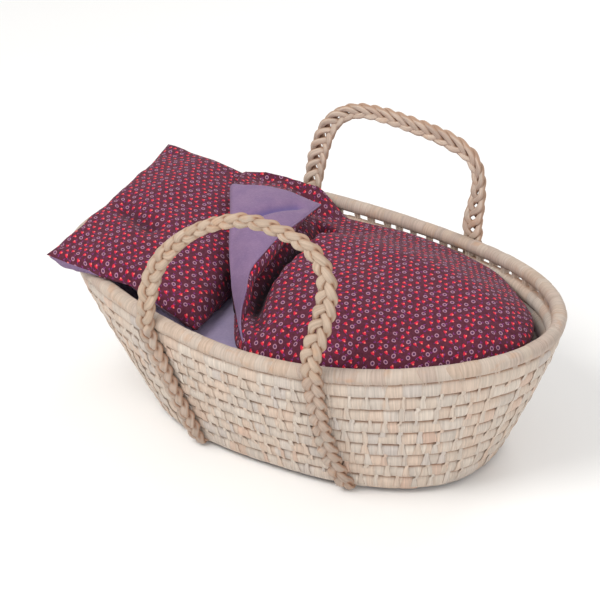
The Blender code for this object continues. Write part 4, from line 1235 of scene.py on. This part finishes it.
def flap(fold, seam):
    """The near head corner of the duvet, turned back: lining up, its seam
    along the foot side, and the print rolling round under the seam."""
    nv = 120
    F, S = fold, seam
    d = S - F
    d[:, 2] = 0
    reach = np.linalg.norm(d, axis=1)
    # square to the seam where the flap has run out
    run = unit(np.gradient(S, axis=0))
    square = unit(np.stack([run[:, 1], -run[:, 0], np.zeros(nv)], 1))
    square *= np.sign((square * np.array((0.75, -0.4, 0))).sum(1, keepdims=True))
    d = unit(unit(d) + 0.4 * square)
    v = np.linspace(0, 1, nv)
    end = soft(v / 0.03) ** 0.5
    end[0] = 0.12
    height = (0.0120 * soft((v - 0.12) / 0.45) * soft((1.05 - v) / 0.35) + 0.0030) * end
    body = 0.030 * end * (1 - 0.72 * soft((v - 0.62) / 0.25))
    rings, flats, shades = [], [], []
    top_n = 30
    length_at = np.concatenate([[0], np.cumsum(np.linalg.norm(np.diff((F + S) / 2, axis=0), axis=1))])
    for i in range(nv):
        f, s, dd, h, e = F[i], S[i], d[i], height[i], end[i]
        up = np.array((0, 0, 1.0))
        pts = []
        lip = 0.0050 - 0.0043 * soft((v[i] - 0.35) / 0.35)
        f = f + dd * min(lip, 0.45 * reach[i])
        drop = min(body[i], 0.030)
        for ang in np.linspace(-0.9, math.pi / 2, 8)[:-1]:
            pts.append(f - dd * (lip * math.cos(ang)) + up * (lip * 1.5 * (math.sin(ang) - 1)))
        u = np.linspace(0, 1, top_n)
        span = f[None] * (1 - u)[:, None] + s[None] * u[:, None]
        puff = 0.0065 * np.sin(math.pi * np.clip(u, 0, 1)) ** 0.8 * min(1.0, reach[i] / 0.06) * e
        # the far edge bows away from the near side
        bow = np.sin(math.pi * u) * (1 - soft(v[i] / 0.22))
        span = span + bow[:, None] * np.array((-0.0020, 0.0034, 0.0004))
        wx, wy = span[:, 0], span[:, 1]
        # a wrinkle runs across the lining, with soft ripples beside it
        p0, p1 = np.array((-0.070, -0.018)), np.array((-0.0386, 0.0432))
        dl = p1 - p0
        q = np.clip(((wx - p0[0]) * dl[0] + (wy - p0[1]) * dl[1]) / (dl @ dl), 0, 1)
        dist = np.hypot(wx - p0[0] - q * dl[0], wy - p0[1] - q * dl[1])
        crinkle = np.exp(-((dist / 0.0055) ** 2)) * np.sin(math.pi * np.clip(u, 0, 1)) ** 0.5 * e
        puff = puff - 0.0060 * np.exp(-((dist / 0.0060) ** 2)) * np.sin(math.pi * np.clip(u, 0, 1)) ** 0.5 * e
        p0, p1 = np.array((-0.095, 0.010)), np.array((-0.030, -0.020))
        dl = p1 - p0
        q = np.clip(((wx - p0[0]) * dl[0] + (wy - p0[1]) * dl[1]) / (dl @ dl), 0, 1)
        dist = np.hypot(wx - p0[0] - q * dl[0], wy - p0[1] - q * dl[1])
        crinkle = np.maximum(crinkle, 0.75 * np.exp(-((dist / 0.0045) ** 2)) * np.sin(math.pi * np.clip(u, 0, 1)) ** 0.5 * e)
        puff = puff - 0.0035 * np.exp(-((dist / 0.0055) ** 2)) * np.sin(math.pi * np.clip(u, 0, 1)) ** 0.5 * e
        puff = puff + value_noise(np.stack([wx * 55, wy * 48], 1), 31.0) * 0.0009 * np.sin(math.pi * u)
        for k in range(top_n):
            pts.append(span[k] + up * puff[k])
        # painted shade along the wrinkles of the lining
        shade = np.concatenate([np.zeros(7), crinkle])
        # the roll under the seam
        for ang in np.linspace(0.15, math.pi, 12):
            r = h / 2
            out = (r * 0.70) * math.sin(ang)
            pts.append(s + dd * out - up * (r * (1 - math.cos(ang))) - up * 0.0004)
        low_s = s - up * h
        low_f = f - up * max(drop, 0.006) + dd * 0.001
        for k in np.linspace(0, 1, 8)[1:]:
            pts.append(low_s * (1 - k) + low_f * k)
        pts = np.array(pts)
        step = np.concatenate([[0], np.cumsum(np.linalg.norm(np.diff(pts, axis=0), axis=1))])
        rings.append(pts)
        # painted shade on the underside of the roll and the bottom of the flap
        under = np.concatenate([0.9 * np.clip(np.linspace(0.15, math.pi, 12) - 1.5, 0, 1), np.full(7, 0.9)]) * soft((v[i] - 0.05) / 0.10)
        shades.append(np.concatenate([shade, under]))
        flats.append(np.stack([step, np.full(len(pts), length_at[i]), np.zeros(len(pts))], 1))
    rings, flats = np.array(rings), np.array(flats)
    m = rings.shape[1]
    faces = tube_faces(nv, m, 0, False, True)
    lining = np.arange(m) < 7 + top_n - 1
    index = [0 if lining[k] else 1 for _ in range(nv - 1) for k in range(m)] + [0, 1]
    obj = build("duvet_turned_corner", rings.reshape(-1, 3), faces, [LILAC, PRINTED], index=index, flat=flats.reshape(-1, 3), dark=np.concatenate(shades))
    outwards(obj)
    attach(obj, "duvet")
    # a thin piped seam along its free edge
    line = np.array([rings[i, 7 + top_n - 1] for i in range(1, nv)])
    bag = Bag()
    ang = np.linspace(0, 2 * math.pi, 9)[:-1]
    t = unit(np.gradient(line, axis=0))
    n = unit(np.cross(t, np.array((0, 0, 1.0))))
    b = np.cross(t, n)
    r = 0.0008
    tube = line[:, None] + n[:, None] * (r * np.cos(ang))[None, :, None] + b[:, None] * (r * np.sin(ang))[None, :, None]
    fl = np.stack([np.broadcast_to(ang[None] * r, (len(line), 8)), np.broadcast_to(np.arange(len(line))[:, None] * 0.0015, (len(line), 8)), np.zeros((len(line), 8))], -1)
    bag.add(tube, fl, 0.5)
    seam_obj = outwards(bag.object("duvet_corner_seam", [LILAC]))
    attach(seam_obj, "duvet")


def mattress():
    m, rows = 200, []
    z0 = MATTRESS_Z0
    t = np.linspace(0, 2 * math.pi, m, endpoint=False)
    prof = [(0.0, 0.012), (0.02, 0.006), (0.07, 0.0025), (0.2, 0.0008), (0.4, 0.0), (0.6, 0.0), (0.8, 0.0008), (0.90, 0.0025), (0.955, 0.005), (0.985, 0.0085), (1.0, 0.014)]
    for f, tuck in prof:
        z = z0 + MATTRESS_T * f
        s = (z - LIFT_BASE - COIL_R) / (RIM_H - COIL_R)
        ringp = wall(s, t)
        n = outward(s, t)
        ringp = ringp - n * (COIL_R + MATTRESS_CLEAR + 0.0003 + tuck)
        ringp[:, 2] = z
        rows.append(ringp)
    top = rows[-1]
    centre = np.array((0.005, 0.0, z0 + MATTRESS_T))
    for q in np.linspace(0.96, 0.02, 26):
        p = centre + (top - centre) * q
        ripple = value_noise(np.stack([p[:, 0] * 48, p[:, 1] * 42], 1), 14.0) * 0.0010 + value_noise(np.stack([p[:, 0] * 20, p[:, 1] * 24], 1), 15.0) * 0.0012
        p[:, 2] = z0 + MATTRESS_T - 0.0010 + np.clip(ripple, -0.0015, 0.0010)
        rows.append(p)
    rows = np.array(rows)
    run = np.cumsum(np.concatenate([np.zeros((1, m)), np.linalg.norm(np.diff(rows, axis=0), axis=2)]), 0)
    flat = np.stack([rows[..., 0], rows[..., 1] + rows[..., 2], np.zeros(rows.shape[:2])], -1)
    obj = build("mattress_pad", rows.reshape(-1, 3), tube_faces(len(rows), m), [SHEETING], flat=flat.reshape(-1, 3))
    outwards(obj)
    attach(obj, "mattress")
    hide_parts("mattress")


# -------------------------------------------------------------------- stage
def stage():
    scene.view_settings.view_transform = "Standard"
    scene.view_settings.look = "None"
    world = bpy.data.worlds.new("studio") if scene.world is None else scene.world
    scene.world = world
    world.use_nodes = True
    bg = world.node_tree.nodes["Background"]
    bg.inputs[0].default_value = (1.0, 0.99, 0.98, 1)
    bg.inputs[1].default_value = 0.62
    import bmesh

    mesh = bpy.data.meshes.new("floor")
    bm = bmesh.new()
    bmesh.ops.create_grid(bm, x_segments=8, y_segments=8, size=6.0)
    bm.to_mesh(mesh)
    bm.free()
    floor = bpy.data.objects.new("floor", mesh)
    floor.location = (0, 0, -0.0002)
    scene.collection.objects.link(floor)
    n = Nodes("pale_floor", 0.9)
    n.shader.inputs["Base Color"].default_value = (0.93, 0.93, 0.925, 1)
    n.shader.inputs["Specular IOR Level"].default_value = 0.0
    mesh.materials.append(n.mat)

    def area(name, at, size, power, colour=(1, 1, 1), target=(0, 0, 0.08)):
        data = bpy.data.lights.new(name, "AREA")
        data.shape = "DISK"
        data.size = size
        data.energy = power
        data.color = colour
        obj = bpy.data.objects.new(name, data)
        scene.collection.objects.link(obj)
        at, target = np.array(at), np.array(target)
        from mathutils import Vector

        obj.location = at
        obj.rotation_mode = "QUATERNION"
        obj.rotation_quaternion = Vector(target - at).to_track_quat("-Z", "Y")
        return obj

    area("key", (-0.55, -1.15, 1.75), 1.1, 26, (1.0, 0.985, 0.96))
    area("fill", (1.6, -1.3, 0.9), 1.6, 12, (0.97, 0.985, 1.0))
    area("back", (0.2, 1.6, 1.6), 1.4, 12, (1, 1, 1))

    az, el = 0.5237, 0.5135
    cam = bpy.data.cameras.new("camera")
    cam.lens = 132.0
    cam.sensor_width = 36.0
    cam.clip_start, cam.clip_end = 0.05, 50
    obj = bpy.data.objects.new("camera", cam)
    scene.collection.objects.link(obj)
    from mathutils import Vector

    back = Vector((math.sin(az) * math.cos(el), -math.cos(az) * math.cos(el), math.sin(el)))
    right = Vector((math.cos(az), math.sin(az), 0))
    up = back.cross(right)
    obj.location = back * 2.0838 + right * -0.009 + up * 0.0951 + Vector((0, 0, LIFT_BASE))
    obj.rotation_mode = "QUATERNION"
    obj.rotation_quaternion = (-back).to_track_quat("-Z", "Y")
    scene.camera = obj


stage()
basket()
base_floor()
braids()
mattress()
duvet(pillow())
